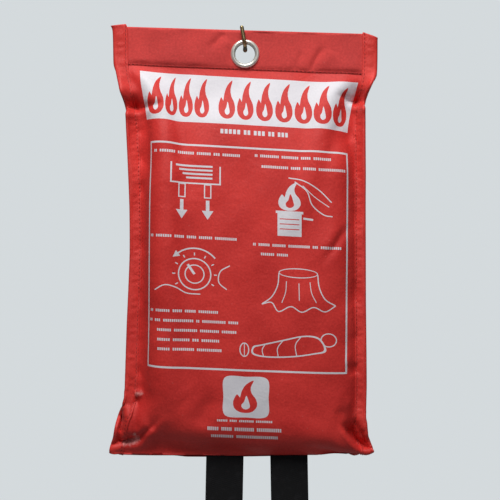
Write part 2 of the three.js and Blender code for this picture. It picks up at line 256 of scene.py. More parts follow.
def settle(cloth, bends, steps, passes, growth_steps):
    """Lets both panels settle, and returns them. cloth is an array of front and back, rows, columns, xyz."""
    rows, columns = cloth.shape[1] - 1, cloth.shape[2] - 1
    x, z = pattern(columns, rows)
    pairs = thread_pairs(x, z, bends)
    below_seam = seam_height(x) - z
    above_hem = z - (HEM[0] - TAKE_UP)
    sewn = (CLOTH_WIDTH / 2 - np.abs(x) < MARGIN + 0.3) | (below_seam < 0.6) | (above_hem < 1.6)
    heading = below_seam < 1.0
    left, right = np.array(LEFT_EDGE).T, np.array(RIGHT_EDGE).T
    stiffened = 0.06 * np.clip((below_seam - 8) / 25, 0, 1) * np.clip((above_hem - 6) / 30, 0, 1)
    before = cloth.copy()
    for step in range(steps):
        growth = min(1.0, 0.1 + step / growth_steps) if growth_steps else 1.0
        drift = (cloth - before) * DRIFT
        before = cloth.copy()
        cloth += drift
        cloth[..., 2] -= GRAVITY
        for _ in range(passes):
            for a, b, length, stiffness, pulls in pairs:
                start, end = cloth[a], cloth[b]
                gap = end - start
                distance = np.sqrt(np.einsum("...k,...k->...", gap, gap)) + 1e-9
                share = (distance - length) / distance
                if not pulls:
                    share = np.minimum(share, 0)
                gap *= (0.5 * stiffness * share)[..., None]
                start += gap
                end -= gap
            blanket_pushes(cloth, growth)
            middle = (cloth[0][sewn] + cloth[1][sewn]) / 2
            cloth[0][sewn] = middle
            cloth[1][sewn] = middle
            for panel in cloth:
                panel[heading, 0] += 0.03 * (x[heading] - panel[heading, 0])
                panel[heading, 2] += 0.08 * (z[heading] - panel[heading, 2])
                panel[heading, 1] += 0.05 * (SEAM_Y - panel[heading, 1])
                np.minimum(panel[..., 1], -0.8, out=panel[..., 1])
                for column, (edge_z, edge_x), inset in ((0, left, EDGE_FOLD), (-1, right, -EDGE_FOLD)):
                    side = panel[:, column]
                    side[:, 0] += EDGE_PULL * (np.interp(side[:, 2], edge_z, edge_x) + inset - side[:, 0])
                    side[:, 1] += stiffened[:, column] * (MARGIN_Y - side[:, 1])
                hem = panel[-1]
                share = np.clip(hem[:, 0] / CLOTH_WIDTH + 0.5, 0, 1)
                line = HEM[0] + (HEM[1] - HEM[0]) * share - HEM_BOW * 4 * share * (1 - share)
                hem[:, 2] += EDGE_PULL * (line - hem[:, 2])
                hem[:, 1] += 0.03 * (SEAM_Y - hem[:, 1])
    return cloth


def spline_weights(t):
    """Weights of four neighbouring points in a uniform cubic B-spline, and of its slope."""
    value = np.stack([(1 - t) ** 3, 3 * t**3 - 6 * t**2 + 4, -3 * t**3 + 3 * t**2 + 3 * t + 1, t**3], -1) / 6
    slope = np.stack([-((1 - t) ** 2), 3 * t**2 - 4 * t, -3 * t**2 + 2 * t + 1, t**2], -1) / 2
    return value, slope


class Cloth:
    """A smooth sheet through a grid of points that were evenly spaced on the flat pattern."""

    def __init__(self, grid):
        self.rows, self.columns = grid.shape[0] - 1, grid.shape[1] - 1
        padded = grid.astype(float)
        for axis in (0, 1):
            for _ in range(3):
                first, second = np.take(padded, [0], axis), np.take(padded, [1], axis)
                last, before = np.take(padded, [-1], axis), np.take(padded, [-2], axis)
                padded = np.concatenate([2 * first - second, padded, 2 * last - before], axis)
        self.grid = padded

    def on_grid(self, row, column):
        """Place, and the slopes down and across, at fractional rows and columns."""
        row, column = np.broadcast_arrays(np.asarray(row, float), np.asarray(column, float))
        low_row = np.clip(np.floor(row), -2, self.rows + 1).astype(int)
        low_column = np.clip(np.floor(column), -2, self.columns + 1).astype(int)
        row_value, row_slope = spline_weights(row - low_row)
        column_value, column_slope = spline_weights(column - low_column)
        place = down = across = 0
        for i in range(4):
            for j in range(4):
                point = self.grid[low_row + i + 2, low_column + j + 2]
                place = place + (row_value[..., i] * column_value[..., j])[..., None] * point
                down = down + (row_slope[..., i] * column_value[..., j])[..., None] * point
                across = across + (row_value[..., i] * column_slope[..., j])[..., None] * point
        return place, down, across

    def at(self, x, z):
        """Place and outward (front) normal at a point of the flat pattern."""
        across = np.asarray(x, float) / CLOTH_WIDTH + 0.5
        top, foot = top_and_foot(across)
        row = (top - z) / (top - foot) * self.rows
        place, down, right = self.on_grid(row, across * self.columns)
        normal = np.cross(down, right)
        normal /= np.linalg.norm(normal, axis=-1, keepdims=True) + 1e-12
        return place, normal


def finer(cloth, columns, rows):
    """The same two panels on a finer grid."""
    row = np.linspace(0, cloth.shape[1] - 1, rows + 1)[:, None]
    column = np.linspace(0, cloth.shape[2] - 1, columns + 1)[None, :]
    return np.stack([Cloth(panel).on_grid(row, column)[0] for panel in cloth]).astype(np.float32)


start_x, start_z = pattern(34, 56)
flat_cloth = np.stack([start_x, 0 * start_x + SEAM_Y, start_z], -1)
cloth = np.stack([flat_cloth - (0, 0.5, 0), flat_cloth + (0, 0.5, 0)]).astype(np.float32)
cloth = settle(cloth, ((2, 0.1, False),), 300, 6, 120)
cloth = finer(cloth, 68, 112)
cloth = settle(cloth, ((2, 0.3, False), (4, 0.06, False)), 150, 5, 0)
cloth = finer(cloth, 170, 272)
smooth_front = Cloth(cloth[0])


def run(points, spacing=1.0):
    """A smooth run of points through a few, with the share of the way that each one is along."""
    points = np.array(points, float)
    padded = np.vstack([2 * points[0] - points[1], points, 2 * points[-1] - points[-2]])
    out = []
    for i in range(len(padded) - 3):
        a, b, c, d = padded[i : i + 4]
        for t in np.linspace(0, 1, max(2, int(np.linalg.norm(c - b) / spacing) + 1), endpoint=False):
            out.append(0.5 * (2 * b + (c - a) * t + (2 * a - 5 * b + 4 * c - d) * t**2
                              + (3 * b - a - 3 * c + d) * t**3))
    out.append(padded[-2])
    return np.array(out)


def ease(share):
    """From 0 to 1 with a soft start and end."""
    share = np.clip(share, 0, 1)
    return share * share * (3 - 2 * share)


def lift(rise):
    """Moves the front panel out by a height at each point of the grid. The back panel follows where it is
    sewn to the front, and gives way where the front would go through it."""
    gap = np.linalg.norm(cloth[0] - cloth[1], axis=-1)
    cloth[0][..., 1] -= rise
    cloth[1][..., 1] -= rise * np.exp(-((gap / 4) ** 2))
    pressed = np.clip(np.minimum(gap, 1.2) - (cloth[1][..., 1] - cloth[0][..., 1]), 0, None)
    cloth[1][..., 1] += pressed
    for panel in cloth:
        np.minimum(panel[..., 1], -1.4, out=panel[..., 1])


def fold(points, height, above, below=None, fades=(0.2, 0.4)):
    """Raises (or, with a negative height, sinks) the cloth along a path of (x, z) on the hanging pouch.
    above and below are how far the fold spreads to each side of the path, and fades are the shares of the
    path over which it grows at its start and dies away at its end."""
    path = run(points)
    ahead = np.gradient(path, axis=0)
    share = np.linspace(0, 1, len(path))
    place = cloth[0][..., (0, 2)]
    nearest = np.full(place.shape[:2], 1e9)
    offset = np.zeros(place.shape[:2])
    along = np.zeros(place.shape[:2])
    for point, way, s in zip(path, ahead, share):
        away = place - point
        distance = np.einsum("...k,...k->...", away, away)
        closer = distance < nearest
        nearest[closer] = distance[closer]
        upward = way if way[0] > 0 else -way
        side = upward[0] * away[..., 1] - upward[1] * away[..., 0]
        offset[closer] = side[closer]
        along[closer] = s
    spread = np.where(offset > 0, above, above if below is None else below)
    grown = ease(along / fades[0]) if fades[0] else 1.0
    lift(height * grown * ease((1 - along) / fades[1]) * np.exp(-nearest / spread**2))


def hollow(corners, depth, softness):
    """Sinks the cloth inside an outline of (x, z) corners, given anticlockwise."""
    x, z = cloth[0][..., 0], cloth[0][..., 2]
    inside = np.full(x.shape, 1e9)
    for (ax, az), (bx, bz) in zip(corners, corners[1:] + corners[:1]):
        way_x, way_z = bx - ax, bz - az
        inside = np.minimum(inside, (way_x * (z - az) - way_z * (x - ax)) / math.hypot(way_x, way_z))
    lift(-depth * ease(inside / softness + 0.5))


def relax(x, z, reach, steps):
    """Smooths the front panel round a place, out to a reach."""
    front = cloth[0]
    near = np.exp(-(((front[..., 0] - x) ** 2 + (front[..., 2] - z) ** 2) / reach**2) ** 2)[1:-1, 1:-1]
    for _ in range(steps):
        depth = front[..., 1]
        average = (depth[:-2, 1:-1] + depth[2:, 1:-1] + depth[1:-1, :-2] + depth[1:-1, 2:]) / 4
        depth[1:-1, 1:-1] += near * (average - depth[1:-1, 1:-1])


# The sides' hard folds where the blanket's top edge begins.
fold([(-84, -29.5), (-73, -30.5), (-64, -30.0)], 2.4, 5.0, 5.0, (0.0, 0.5))
fold([(-81, -39.6), (-74, -40.6), (-66, -40.5)], -7.4, 6.4, 1.8, (0.0, 0.4))
fold([(-74, -40.6), (-66, -40.3), (-58, -39.0), (-50, -37.0)], -3.4, 2.6, 1.3, (0.25, 0.5))
fold([(-79, -44.5), (-70, -45.0), (-62, -44.0)], 1.2, 2.4, 3.0, (0.0, 0.5))
fold([(88, -22.5), (77, -25.5), (69, -27.5)], 2.4, 5.0, 5.0, (0.0, 0.5))
fold([(81.5, -36.8), (75, -36.9), (68.5, -36.0)], -7.4, 7.0, 2.0, (0.0, 0.4))
fold([(76, -36.9), (68.5, -35.6), (63.5, -33.4), (57.5, -30.6)], -3.8, 2.4, 1.3, (0.25, 0.5))
fold([(79, -41.0), (72, -40.8), (64, -38.5)], 1.2, 2.2, 3.0, (0.0, 0.5))
fold([(71.5, -39), (72.4, -58)], -1.8, 2.6)
fold([(73, -57), (66, -59.5), (58, -62)], -0.9, 4.0)

# Puckers beside the side seams.
for x, start, end, depth in ((-68.6, -52, -59, 1.0), (-67.4, -66, -80, 1.4), (-67.0, -87, -100, 1.3),
                             (-67.2, -122, -138, 0.9), (-67.6, -154, -172, 1.0), (-68.2, -186, -196, 0.6),
                             (-68.8, -205, -217, 0.8), (71.2, -66, -90, 1.3), (70.6, -102, -124, 1.3),
                             (70.2, -150, -171, 1.1), (70.4, -184, -194, 0.7)):
    fold([(x, start), (x + 0.4, (start + end) / 2), (x, end)], -depth, 2.6, 2.6, (0.4, 0.4))
for x, z, height in ((-66.5, -62, 0.6), (-65.5, -84, 0.7), (-66.0, -106, 0.4), (69.0, -62.5, 0.5),
                     (68.5, -96, 0.5)):
    fold([(x - 3, z), (x + 4, z + 1)], height, 3.0, 3.0, (0.5, 0.5))

# Folds across the front.
fold([(67, -115), (62, -122), (56, -132), (47, -144)], -1.5, 2.2, 2.8, (0.3, 0.5))
fold([(60, -116), (54, -126), (46, -137)], 0.5, 4.0, 3.0)
fold([(-21, -218), (-26, -236), (-30, -249)], -1.4, 5.5, 5.5, (0.4, 0.3))
fold([(-14, -230), (-19, -246)], 0.7, 5.0, 5.0, (0.4, 0.4))

# The lower left corner: a hollow between the binding and a slanting ridge, and the hem turned up behind it.
relax(-61, -243, 17, 110)
fold([(-71, -250), (-65, -250.5), (-57, -246)], 2.8, 8.5, 3.5, (0.2, 0.4))
fold([(-71.5, -225.2), (-64.5, -224.4)], 2.0, 1.5, 2.0, (0.3, 0.4))
fold([(-72.5, -229), (-67, -230.8)], -2.6, 2.0, 2.6, (0.3, 0.4))
fold([(-75.6, -231), (-75.0, -245), (-74.2, -254)], 2.6, 2.6, 2.6, (0.3, 0.2))
fold([(-83.4, -257.5), (-80.6, -248.5), (-79.8, -241), (-79.4, -234.0)], -4.5, 1.8, 1.8, (0.15, 0.3))
hollow([(-78.9, -234.0), (-81.9, -240.5), (-82.6, -248.0), (-80.6, -250.0), (-78.2, -242.0)], 7.0, 1.8)
fold([(-70.5, -253.0), (-67.5, -252.0), (-62, -247.6), (-55, -240.8)], -1.2, 1.8, 1.6, (0.2, 0.6))
fold([(-86, -256.4), (-78, -255.8), (-70.5, -254.6)], -3.4, 1.5, 1.2, (0.25, 0.35))
fold([(-89, -262.2), (-80, -259.6), (-72, -258.8), (-66.5, -256.6), (-61, -251.2), (-54.5, -244),
      (-47.5, -237.4)], 4.4, 1.7, 4.4, (0.05, 0.5))

# The lower right corner: a deep hollow beside the binding, with a thin ridge round its foot.
relax(66, -243, 13, 40)
fold([(69.6, -205), (70.0, -214)], -2.0, 3.2, 3.2, (0.3, 0.3))
fold([(64, -202), (68, -203)], 0.7, 3.5, 3.5, (0.4, 0.4))
fold([(58.5, -236), (64.5, -239.5)], -1.0, 3.4, 3.4, (0.4, 0.4))
fold([(64, -230), (69, -232)], 0.8, 4.0, 4.0, (0.4, 0.4))
fold([(69.4, -233), (69.9, -240), (70.4, -247), (72.8, -253.6), (77.0, -259.2)], -1.5, 1.4, 5.2, (0.4, 0.12))
fold([(61.6, -243.6), (64.8, -249.0), (68.6, -254.4), (73.0, -259.0), (78.0, -261.2), (83.4, -261.4)],
     -6.4, 6.4, 1.2, (0.35, 0.12))
hollow([(72.0, -240.5), (67.0, -249.0), (70.2, -254.8), (74.0, -258.8), (78.0, -260.8), (80.2, -257.0)],
       2.5, 2.0)
fold([(76.0, -247), (77.4, -252), (79.5, -257.5)], -2.5, 1.3, 1.2, (0.3, 0.2))
fold([(59.9, -243.4), (63.0, -248.8), (67.0, -254.8), (71.6, -259.8), (76.6, -262.4), (84.5, -262.6)],
     2.8, 1.1, 2.6, (0.3, 0.05))

# Soft creases across the heading.
fold([(-13, 9), (-18, 4), (-25, -3)], -1.1, 2.4, 2.4, (0.1, 0.4))
fold([(-10, 5), (-17, -12)], 0.6, 3.5, 3.5)
fold([(53, 1), (47, -6), (42, -16)], -1.2, 2.0, 2.4, (0.4, 0.15))
fold([(57, -3), (50, -15)], 0.6, 3.5, 3.5)
fold([(37, -2), (32, -16)], -0.7, 2.4, 2.4, (0.4, 0.2))

# Slight unevenness all over.
SEED = 11
WAVE_HEIGHT = 0.075
waves = np.random.RandomState(SEED)
for _ in range(26):
    angle, length, phase = waves.uniform(0, math.pi), waves.uniform(22, 60), waves.uniform(0, 2 * math.pi)
    ripple = cloth[0][..., 0] * math.cos(angle) + cloth[0][..., 2] * math.sin(angle)
    cloth[0][..., 1] += WAVE_HEIGHT * np.sin(2 * math.pi * ripple / length + phase)
front_cloth, back_cloth = Cloth(cloth[0]), Cloth(cloth[1])


# ------------------------------------------------ Front panel, with its print
# A panel of red coated cloth. A white block with cut-out flames heads it, and a white frame holds pictures
# of the blanket's use and short bars where the words go. The ink lies on the cloth and bends with it.

PANEL_THICKNESS = 0.5
PANEL_TOP = 3.3  # how far the panels' top edge is tucked up under the heading
GRAIN = 1.6  # spacing of the panel's points


def new_object(name, points, faces, materials):
    """An object at the origin, from points in millimetres."""
    mesh = bpy.data.meshes.new(name)
    mesh.from_pydata((np.asarray(points) * MM).tolist(), [], [list(map(int, face)) for face in faces])
    for material in materials:
        mesh.materials.append(material)
    mesh.polygons.foreach_set("use_smooth", [True] * len(mesh.polygons))
    mesh.validate()
    mesh.update()
    made = bpy.data.objects.new(name, mesh)
    bpy.context.scene.collection.objects.link(made)
    return made


def lay_pattern(made, places):
    """Keeps each point's place on the flat pattern, in metres, as the UV map that weaves follow."""
    layer = made.data.uv_layers.new(name="pattern")
    corner = np.zeros(len(made.data.loops), dtype=np.int32)
    made.data.loops.foreach_get("vertex_index", corner)
    layer.data.foreach_set("uv", (np.asarray(places)[corner] * MM).astype(np.float32).ravel())
    lay_wear_and_highlight(made)


# Pale spots where creases have rubbed the coating pale, and a painted highlight on the crests of those folds:
# x, z and reach on the hanging pouch.
RUBBED_AND_LIT_SPOTS = (
    (-78.0, -257.8, 2.4), (-75.0, -257.2, 3.0), (-72.0, -256.4, 3.2), (-70.0, -254.8, 2.8),
    (-71.4, -251.6, 1.6), (-69.4, -225.4, 2.4), (-66.8, -224.8, 1.8), (-78, -41.6, 1.0), (83.5, -262.0, 1.2),
)


def lay_wear_and_highlight(made):
    """Keeps each point's share of the pale spots, wear and painted highlight together, as an attribute that
    the cloth's colour follows.
    """
    places = np.zeros(len(made.data.vertices) * 3, np.float32)
    made.data.vertices.foreach_get("co", places)
    x, _, z = (places.reshape(-1, 3) / MM).T
    worn = np.zeros(len(x))
    for spot_x, spot_z, reach in RUBBED_AND_LIT_SPOTS:
        worn = np.maximum(worn, np.exp(-((x - spot_x) ** 2 + (z - spot_z) ** 2) / reach**2))
    layer = made.data.attributes.new("worn", "FLOAT", "POINT")
    layer.data.foreach_set("value", worn.astype(np.float32))


def node_group(name, inputs, outputs):
    """A shader group with its input and output nodes, from (name, kind, value) and (name, kind) sockets."""
    group = bpy.data.node_groups.new(name, "ShaderNodeTree")
    for socket, kind, value in inputs:
        made = group.interface.new_socket(socket, in_out="INPUT", socket_type=kind)
        if value is not None:
            made.default_value = value
    for socket, kind in outputs:
        group.interface.new_socket(socket, in_out="OUTPUT", socket_type=kind)
    return group, group.nodes.new("NodeGroupInput"), group.nodes.new("NodeGroupOutput")


def sums(tree, operation, *values):
    inputs = {f"_{i}": value for i, value in enumerate(values)}
    return add_node(tree, "ShaderNodeMath", {"operation": operation}, **inputs).outputs[0]


def blend(tree, share, low, high):
    return add_node(tree, "ShaderNodeMix", {"data_type": "RGBA"}, _0=share, _6=low, _7=high).outputs[2]


def ramp(tree, value, low, high):
    return add_node(tree, "ShaderNodeMapRange", Value=value, From_Min=low, From_Max=high).outputs[0]


def noise(tree, place, scale, detail, **more):
    return add_node(tree, "ShaderNodeTexNoise", Vector=place, Scale=scale, Detail=detail, **more).outputs[0]


def bumped(tree, height):
    """A normal from a height in metres."""
    return add_node(tree, "ShaderNodeBump", Height=height, Distance=1.0, Strength=1.0).outputs[0]


# Plain weave seen through a coating: threads across and along, in metres of the flat pattern.
weave, weave_in, weave_out = node_group(
    "plain_weave",
    [("Pattern", "NodeSocketVector", None), ("Thread Pitch", "NodeSocketFloat", 0.0005)],
    [("Height", "NodeSocketFloat")],
)
turns = sums(weave, "DIVIDE", 2 * math.pi, weave_in.outputs["Thread Pitch"])
thread_axes = add_node(weave, "ShaderNodeSeparateXYZ", Vector=weave_in.outputs["Pattern"])
warp = sums(weave, "SINE", sums(weave, "MULTIPLY", thread_axes.outputs[0], turns))
weft = sums(weave, "SINE", sums(weave, "MULTIPLY", thread_axes.outputs[1], turns))
weave.links.new(sums(weave, "MULTIPLY", warp, weft), weave_out.inputs["Height"])

# Handling marks: soft crumples at two sizes and a mottle of the colour.
handling, handling_in, handling_out = node_group(
    "handling",
    [("Pattern", "NodeSocketVector", None), ("Crumple Size", "NodeSocketFloat", 0.012)],
    [("Crumple", "NodeSocketFloat"), ("Mottle", "NodeSocketFloat"), ("Grain", "NodeSocketFloat"),
     ("Scuff", "NodeSocketFloat")],
)
laid = handling_in.outputs["Pattern"]
crumple_scale = sums(handling, "DIVIDE", 1.0, handling_in.outputs["Crumple Size"])
fill_inputs(
    handling, handling_out,
    Crumple=noise(handling, laid, crumple_scale, 4.0, Roughness=0.55, Distortion=0.35),
    Mottle=noise(handling, laid, 34.0, 3.0),
    Grain=ramp(handling, noise(handling, laid, 700.0, 3.0), 0.3, 0.7),
    Scuff=ramp(handling, noise(handling, laid, 420.0, 2.0), 0.70, 0.78),
)


def use_group(tree, group, **values):
    return add_node(tree, "ShaderNodeGroup", {"node_tree": group}, **values)


RUBBED_AND_LIT = (0.86, 0.58, 0.56, 1)  # coating worn pale at hard creases, and a painted highlight on the folds' crests
GRAIN_DEPTH = 0.035


def cloth_material(
        name, shade, light, roughness, weave_depth, pitch, crumple, scuffed, sheen=0.0, gloss=0.5):
    """Coated cloth between two colours. Depths and pitches are in millimetres."""
    material, tree, shader = new_material(name)
    place = add_node(tree, "ShaderNodeUVMap", {"uv_map": "pattern"}).outputs[0]
    threads = use_group(tree, weave, Pattern=place, Thread_Pitch=pitch * MM).outputs["Height"]
    marks = use_group(tree, handling, Pattern=place, Crumple_Size=0.014)
    tone = sums(tree, "MULTIPLY_ADD", marks.outputs["Mottle"], 1.6, -0.55)
    tone = sums(tree, "MULTIPLY_ADD", marks.outputs["Grain"], 0.55, tone)
    tint = blend(tree, tone, shade, light)
    tint = blend(tree, sums(tree, "MULTIPLY", marks.outputs["Scuff"], 0.35), tint, scuffed)
    # Pale spots at creases: worn coating, and a painted highlight on the crests of the folds.
    wear_and_highlight = add_node(tree, "ShaderNodeAttribute", {"attribute_name": "worn"}).outputs["Fac"]
    rubbed_and_lit = ramp(tree, sums(tree, "MULTIPLY_ADD", marks.outputs["Grain"], 0.4, wear_and_highlight), 0.60, 1.40)
    tint = blend(tree, sums(tree, "MULTIPLY", rubbed_and_lit, 0.62), tint, RUBBED_AND_LIT)
    height = sums(tree, "MULTIPLY", marks.outputs["Grain"], GRAIN_DEPTH * MM)
    height = sums(tree, "MULTIPLY_ADD", marks.outputs["Crumple"], crumple * MM, height)
    height = sums(tree, "MULTIPLY_ADD", threads, weave_depth * MM, height)
    fill_inputs(
        tree, shader, Base_Color=tint, Normal=bumped(tree, height), Specular_IOR_Level=gloss,
        Roughness=sums(tree, "MULTIPLY_ADD", marks.outputs["Mottle"], 0.18, roughness - 0.09),
        Sheen_Weight=sheen, Sheen_Roughness=0.4,
    )
    return material


coated_red = cloth_material(
    "coated_red", (0.53, 0.022, 0.020, 1), (0.74, 0.042, 0.035, 1), 0.55, 0.020, 0.55, 0.75,
    scuffed=(0.74, 0.20, 0.18, 1), sheen=0.03, gloss=0.32,
)
print_white = cloth_material(
    "print_white", (0.675, 0.662, 0.72, 1), (0.75, 0.735, 0.79, 1), 0.52, 0.014, 0.55, 0.45,
    scuffed=(0.66, 0.30, 0.30, 1),
)


def turned(points, angle, centre=(0, 0)):
    """Points turned anticlockwise by an angle in degrees, then moved to a centre."""
    c, s = math.cos(math.radians(angle)), math.sin(math.radians(angle))
    return [(centre[0] + c * x - s * z, centre[1] + s * x + c * z) for x, z in points]


def curve(points, closed=False, spacing=1.4):
    """A smooth run of points through a few, as a list."""
    if not closed:
        return [tuple(p) for p in run(points, spacing)]
    count = len(points)
    whole = run([*points[-2:], *points, *points[:3]], spacing)
    ends = [int(np.argmin(np.linalg.norm(whole - p, axis=1))) for p in np.array(points, float)]
    first = ends[0]
    last = first + int(np.argmin(np.linalg.norm(whole[first + count :] - whole[first], axis=1))) + count
    return [tuple(p) for p in whole[first:last]]


def arc(centre, radius, start, end, spacing=1.2):
    steps = max(6, int(abs(math.radians(end - start)) * radius / spacing))
    angles = np.radians(np.linspace(start, end, steps + 1))
    return [(centre[0] + radius * math.cos(a), centre[1] + radius * math.sin(a)) for a in angles]


def oval(centre, radius_x, radius_z, steps):
    angles = np.linspace(0, 2 * math.pi, steps, endpoint=False)
    return [(centre[0] + radius_x * math.cos(a), centre[1] + radius_z * math.sin(a)) for a in angles]


def stroke(points, width=0.6):
    """The outline of a line of a given width."""
    path = np.array(points, float)
    ahead = np.diff(path, axis=0)
    ahead /= np.linalg.norm(ahead, axis=1, keepdims=True) + 1e-9
    tangent = np.vstack([ahead[:1], (ahead[:-1] + ahead[1:]) / 2, ahead[-1:]])
    tangent /= np.maximum(np.linalg.norm(tangent, axis=1, keepdims=True), 0.35)
    side = np.stack([-tangent[:, 1], tangent[:, 0]], 1) * width / 2
    return [tuple(p) for p in np.vstack([path + side, (path - side)[::-1]])]


def box(centre, width, height):
    x, z = centre
    w, h = width / 2, height / 2
    return [(x - w, z - h), (x + w, z - h), (x + w, z + h), (x - w, z + h)]


def flame(centre, width, height):
    """A flame with a curled tip, standing on its foot at the centre."""
    outline = [
        (0.02, 0.0), (0.30, 0.05), (0.48, 0.22), (0.44, 0.42), (0.26, 0.60), (0.22, 0.78), (0.34, 1.0),
        (0.02, 0.86), (-0.16, 0.64), (-0.22, 0.46), (-0.34, 0.56), (-0.50, 0.34), (-0.46, 0.14),
        (-0.26, 0.03),
    ]
    return [(centre[0] + x * width, centre[1] + z * height) for x, z in curve(outline, True, 0.12)]


def flame_heart(centre, width, height):
    """The bare drop in a flame's middle."""
    outline = [
        (0.0, 0.0), (0.38, 0.16), (0.34, 0.45), (0.06, 1.0), (-0.16, 0.55), (-0.42, 0.34), (-0.34, 0.10),
    ]
    return [(centre[0] + x * width, centre[1] + z * height) for x, z in curve(outline, True, 0.2)]


def print_slope(z):
    """The print was laid on slightly askew, a little more so at the top."""
    return -0.062 + 0.020 * np.clip((-66 - z) / 143, 0, 1)


def powers(x, z):
    """Powers of a place on the pouch, for the fit of the flat pattern."""
    u, v = np.asarray(x) / 80, (np.asarray(z) + 140) / 120
    return np.stack([u**i * v**j for i in range(4) for j in range(5 - i)], -1)


# The flat pattern's place as a smooth function of the place on the hanging pouch.
sample_x, sample_z = np.meshgrid(np.linspace(-72, 72, 41), np.linspace(-18, -262, 61))
hanging = smooth_front.at(sample_x, sample_z)[0]
fit, *_ = np.linalg.lstsq(
    powers(hanging[..., 0].ravel(), hanging[..., 2].ravel()),
    np.stack([sample_x.ravel(), sample_z.ravel()], -1), rcond=None)


def on_cloth(outline):
    """From the upright layout of the print to the flat pattern."""
    x, z = np.array(outline, float).T
    return [tuple(p) for p in powers(x, z + print_slope(z) * x) @ fit]


def densified(outline):
    """The outline with points at least as close as the panel's own."""
    points = []
    for (ax, az), (bx, bz) in zip(outline, outline[1:] + outline[:1]):
        count = max(1, int(math.hypot(bx - ax, bz - az) / GRAIN))
        points += [(ax + (bx - ax) * k / count, az + (bz - az) * k / count) for k in range(count)]
    return points


ink = []  # outlines in order, each with True for white or False for bare cloth


def white(*outlines):
    ink.extend((outline, True) for outline in outlines)


def bare(*outlines):
    ink.extend((outline, False) for outline in outlines)


def line(points, width=0.7):
    white(stroke(curve(points), width))


def hoop(centre, radius_x, radius_z, width, steps):
    white(oval(centre, radius_x, radius_z, steps))
    bare(oval(centre, radius_x - width, radius_z - width, steps - 2))


def word_bars(left, z, widths, height=1.7, gap=1.5, letter=1.25):
    """A line of text stood in for by rows of small blocks, a row for each word."""
    for width in widths:
        count = max(1, round(width / letter))
        for k in range(count):
            white(box((left + width * (k + 0.5) / count, z), 0.70 * width / count, height))
        left += width + gap


# The title block, with flames cut out of it in a group of four and a group of seven.
white([(-66.6, -20.2), (52, -20.2), (62, -19.6), (71.2, -18.6), (68.0, -51.9), (-64.6, -51.9)])
for left, right in ((-62.4, -52.4), (-51.6, -43.8), (-42.8, -34.0), (-33.0, -23.6), (-17.4, -6.6),
                    (-5.2, 5.6), (7.4, 18.4), (20.0, 31.2), (32.6, 43.8), (44.8, 55.8), (56.6, 67.0)):
    middle = (left + right) / 2
    bare(flame((middle, -49.0), (right - left) * 1.02, 26.0))
    white(flame_heart((middle + 0.2, -46.4), (right - left) * 0.36, 9.0))

# The line under the title.
word_bars(-16.6, -57.2, (13.6, 5.0, 8.0, 4.6, 7.2), 2.9, 1.6, 2.6)

# The frame round the pictures.
white([(-60.9, -66.2), (66.3, -66.2), (65.3, -209.6), (-63.1, -209.6)])
bare([(-59.7, -67.4), (65.1, -67.4), (64.1, -208.4), (-61.9, -208.4)])

# Bars for the six steps' words.
for left, z, widths in (
    (-57.4, -72.3, (2.0, 9.2, 10.5, 9.0, 4.2, 11.6)),
    (6.0, -71.5, (2.0, 12.5, 11.0, 6.4, 11.4)),
    (10.4, -78.2, (17.5, 6.4, 8.2, 17.0)),
    (-58.6, -125.8, (2.0, 9.0, 6.2, 6.0, 8.4, 14.0)),
    (4.8, -128.2, (2.0, 7.4, 8.8, 14.0, 3.6, 13.0)),
    (9.8, -134.2, (8.8, 7.4)),
    (-59.2, -173.4, (2.0, 8.4, 6.0, 7.0, 12.4)),
    (-59.8, -179.6, (2.0, 3.6, 18.4, 2.2, 15.0, 6.6)),
    (-55.0, -185.7, (8.4, 14.6, 12.2, 9.6)),
    (-55.0, -191.8, (7.6, 10.6, 4.2, 11.4)),
    (-55.0, -197.8, (7.4, 13.6, 15.8)),
):
    word_bars(left, z, widths)

# First picture: two tabs pulled down out of their holder.
white(box((-31.6, -91.4), 31.6, 0.9), box((-46.9, -85.0), 0.9, 12.2), box((-16.3, -85.6), 0.9, 11.0))
for row in range(4):
    white(box((-32.6 + 1.1 * row, -80.4 - 2.5 * row), 23 - 2.2 * row, 1.2))
for x in (-40.0, -24.0):
    white(box((x, -96.2), 4.6, 9.0))
    bare(box((x, -96.2), 3.2, 7.6))
    white(box((x, -105.5), 2.2, 7.0))
    white([(x - 3.6, -108.6), (x, -114.2), (x + 3.6, -108.6)])

# Second picture: a blanket's edge drawn over a burning pan.
white(box((28.4, -114.6), 15.4, 14.6), box((28.4, -106.6), 17.6, 1.6))
bare(*(box((28.4, -111.0 - 3.2 * row), 12.6, 0.6) for row in range(3)))
white(stroke([(37.2, -110.0), (43.5, -110.6)], 1.3))
white(flame((28.6, -105.6), 14.5, 18.5))
bare(flame_heart((28.8, -103.8), 6.6, 9.0))
line([(28.0, -84.5), (37.5, -86.0), (47.5, -91.5), (55.0, -99.0)])
line([(32.0, -86.8), (39.5, -92.5), (42.8, -101.0), (50.0, -107.0), (55.5, -108.0)])
line([(37.0, -89.2), (44.0, -95.5), (53.5, -102.0)], 0.5)

# Third picture: a knob turned back to off.
KNOB = (-32.0, -149.5)
TURN_RADIUS, TURN_END = 16.6, 128  # of the arrow round the knob
hoop(KNOB, 10.4, 10.4, 0.8, 34)
hoop(KNOB, 6.2, 6.2, 0.7, 26)
white(stroke([KNOB, (-36.2, -143.4)], 1.5))
for angle in range(-30, 211, 30):
    white(stroke(turned([(12.0, 0), (13.8, 0)], angle, KNOB), 0.7))
white(stroke(arc(KNOB, TURN_RADIUS, 40, TURN_END), 0.9))
white(turned([(0, 2.2), (0, -2.2), (4.2, 0)], TURN_END + 90, turned([(TURN_RADIUS, 0)], TURN_END, KNOB)[0]))
line([(-56.0, -160.5), (-50.0, -157.0), (-43.5, -158.5), (-37.0, -161.8), (-28.5, -162.2)])
line([(-12.0, -158.5), (-17.0, -154.0), (-16.0, -147.0), (-10.0, -143.0)])

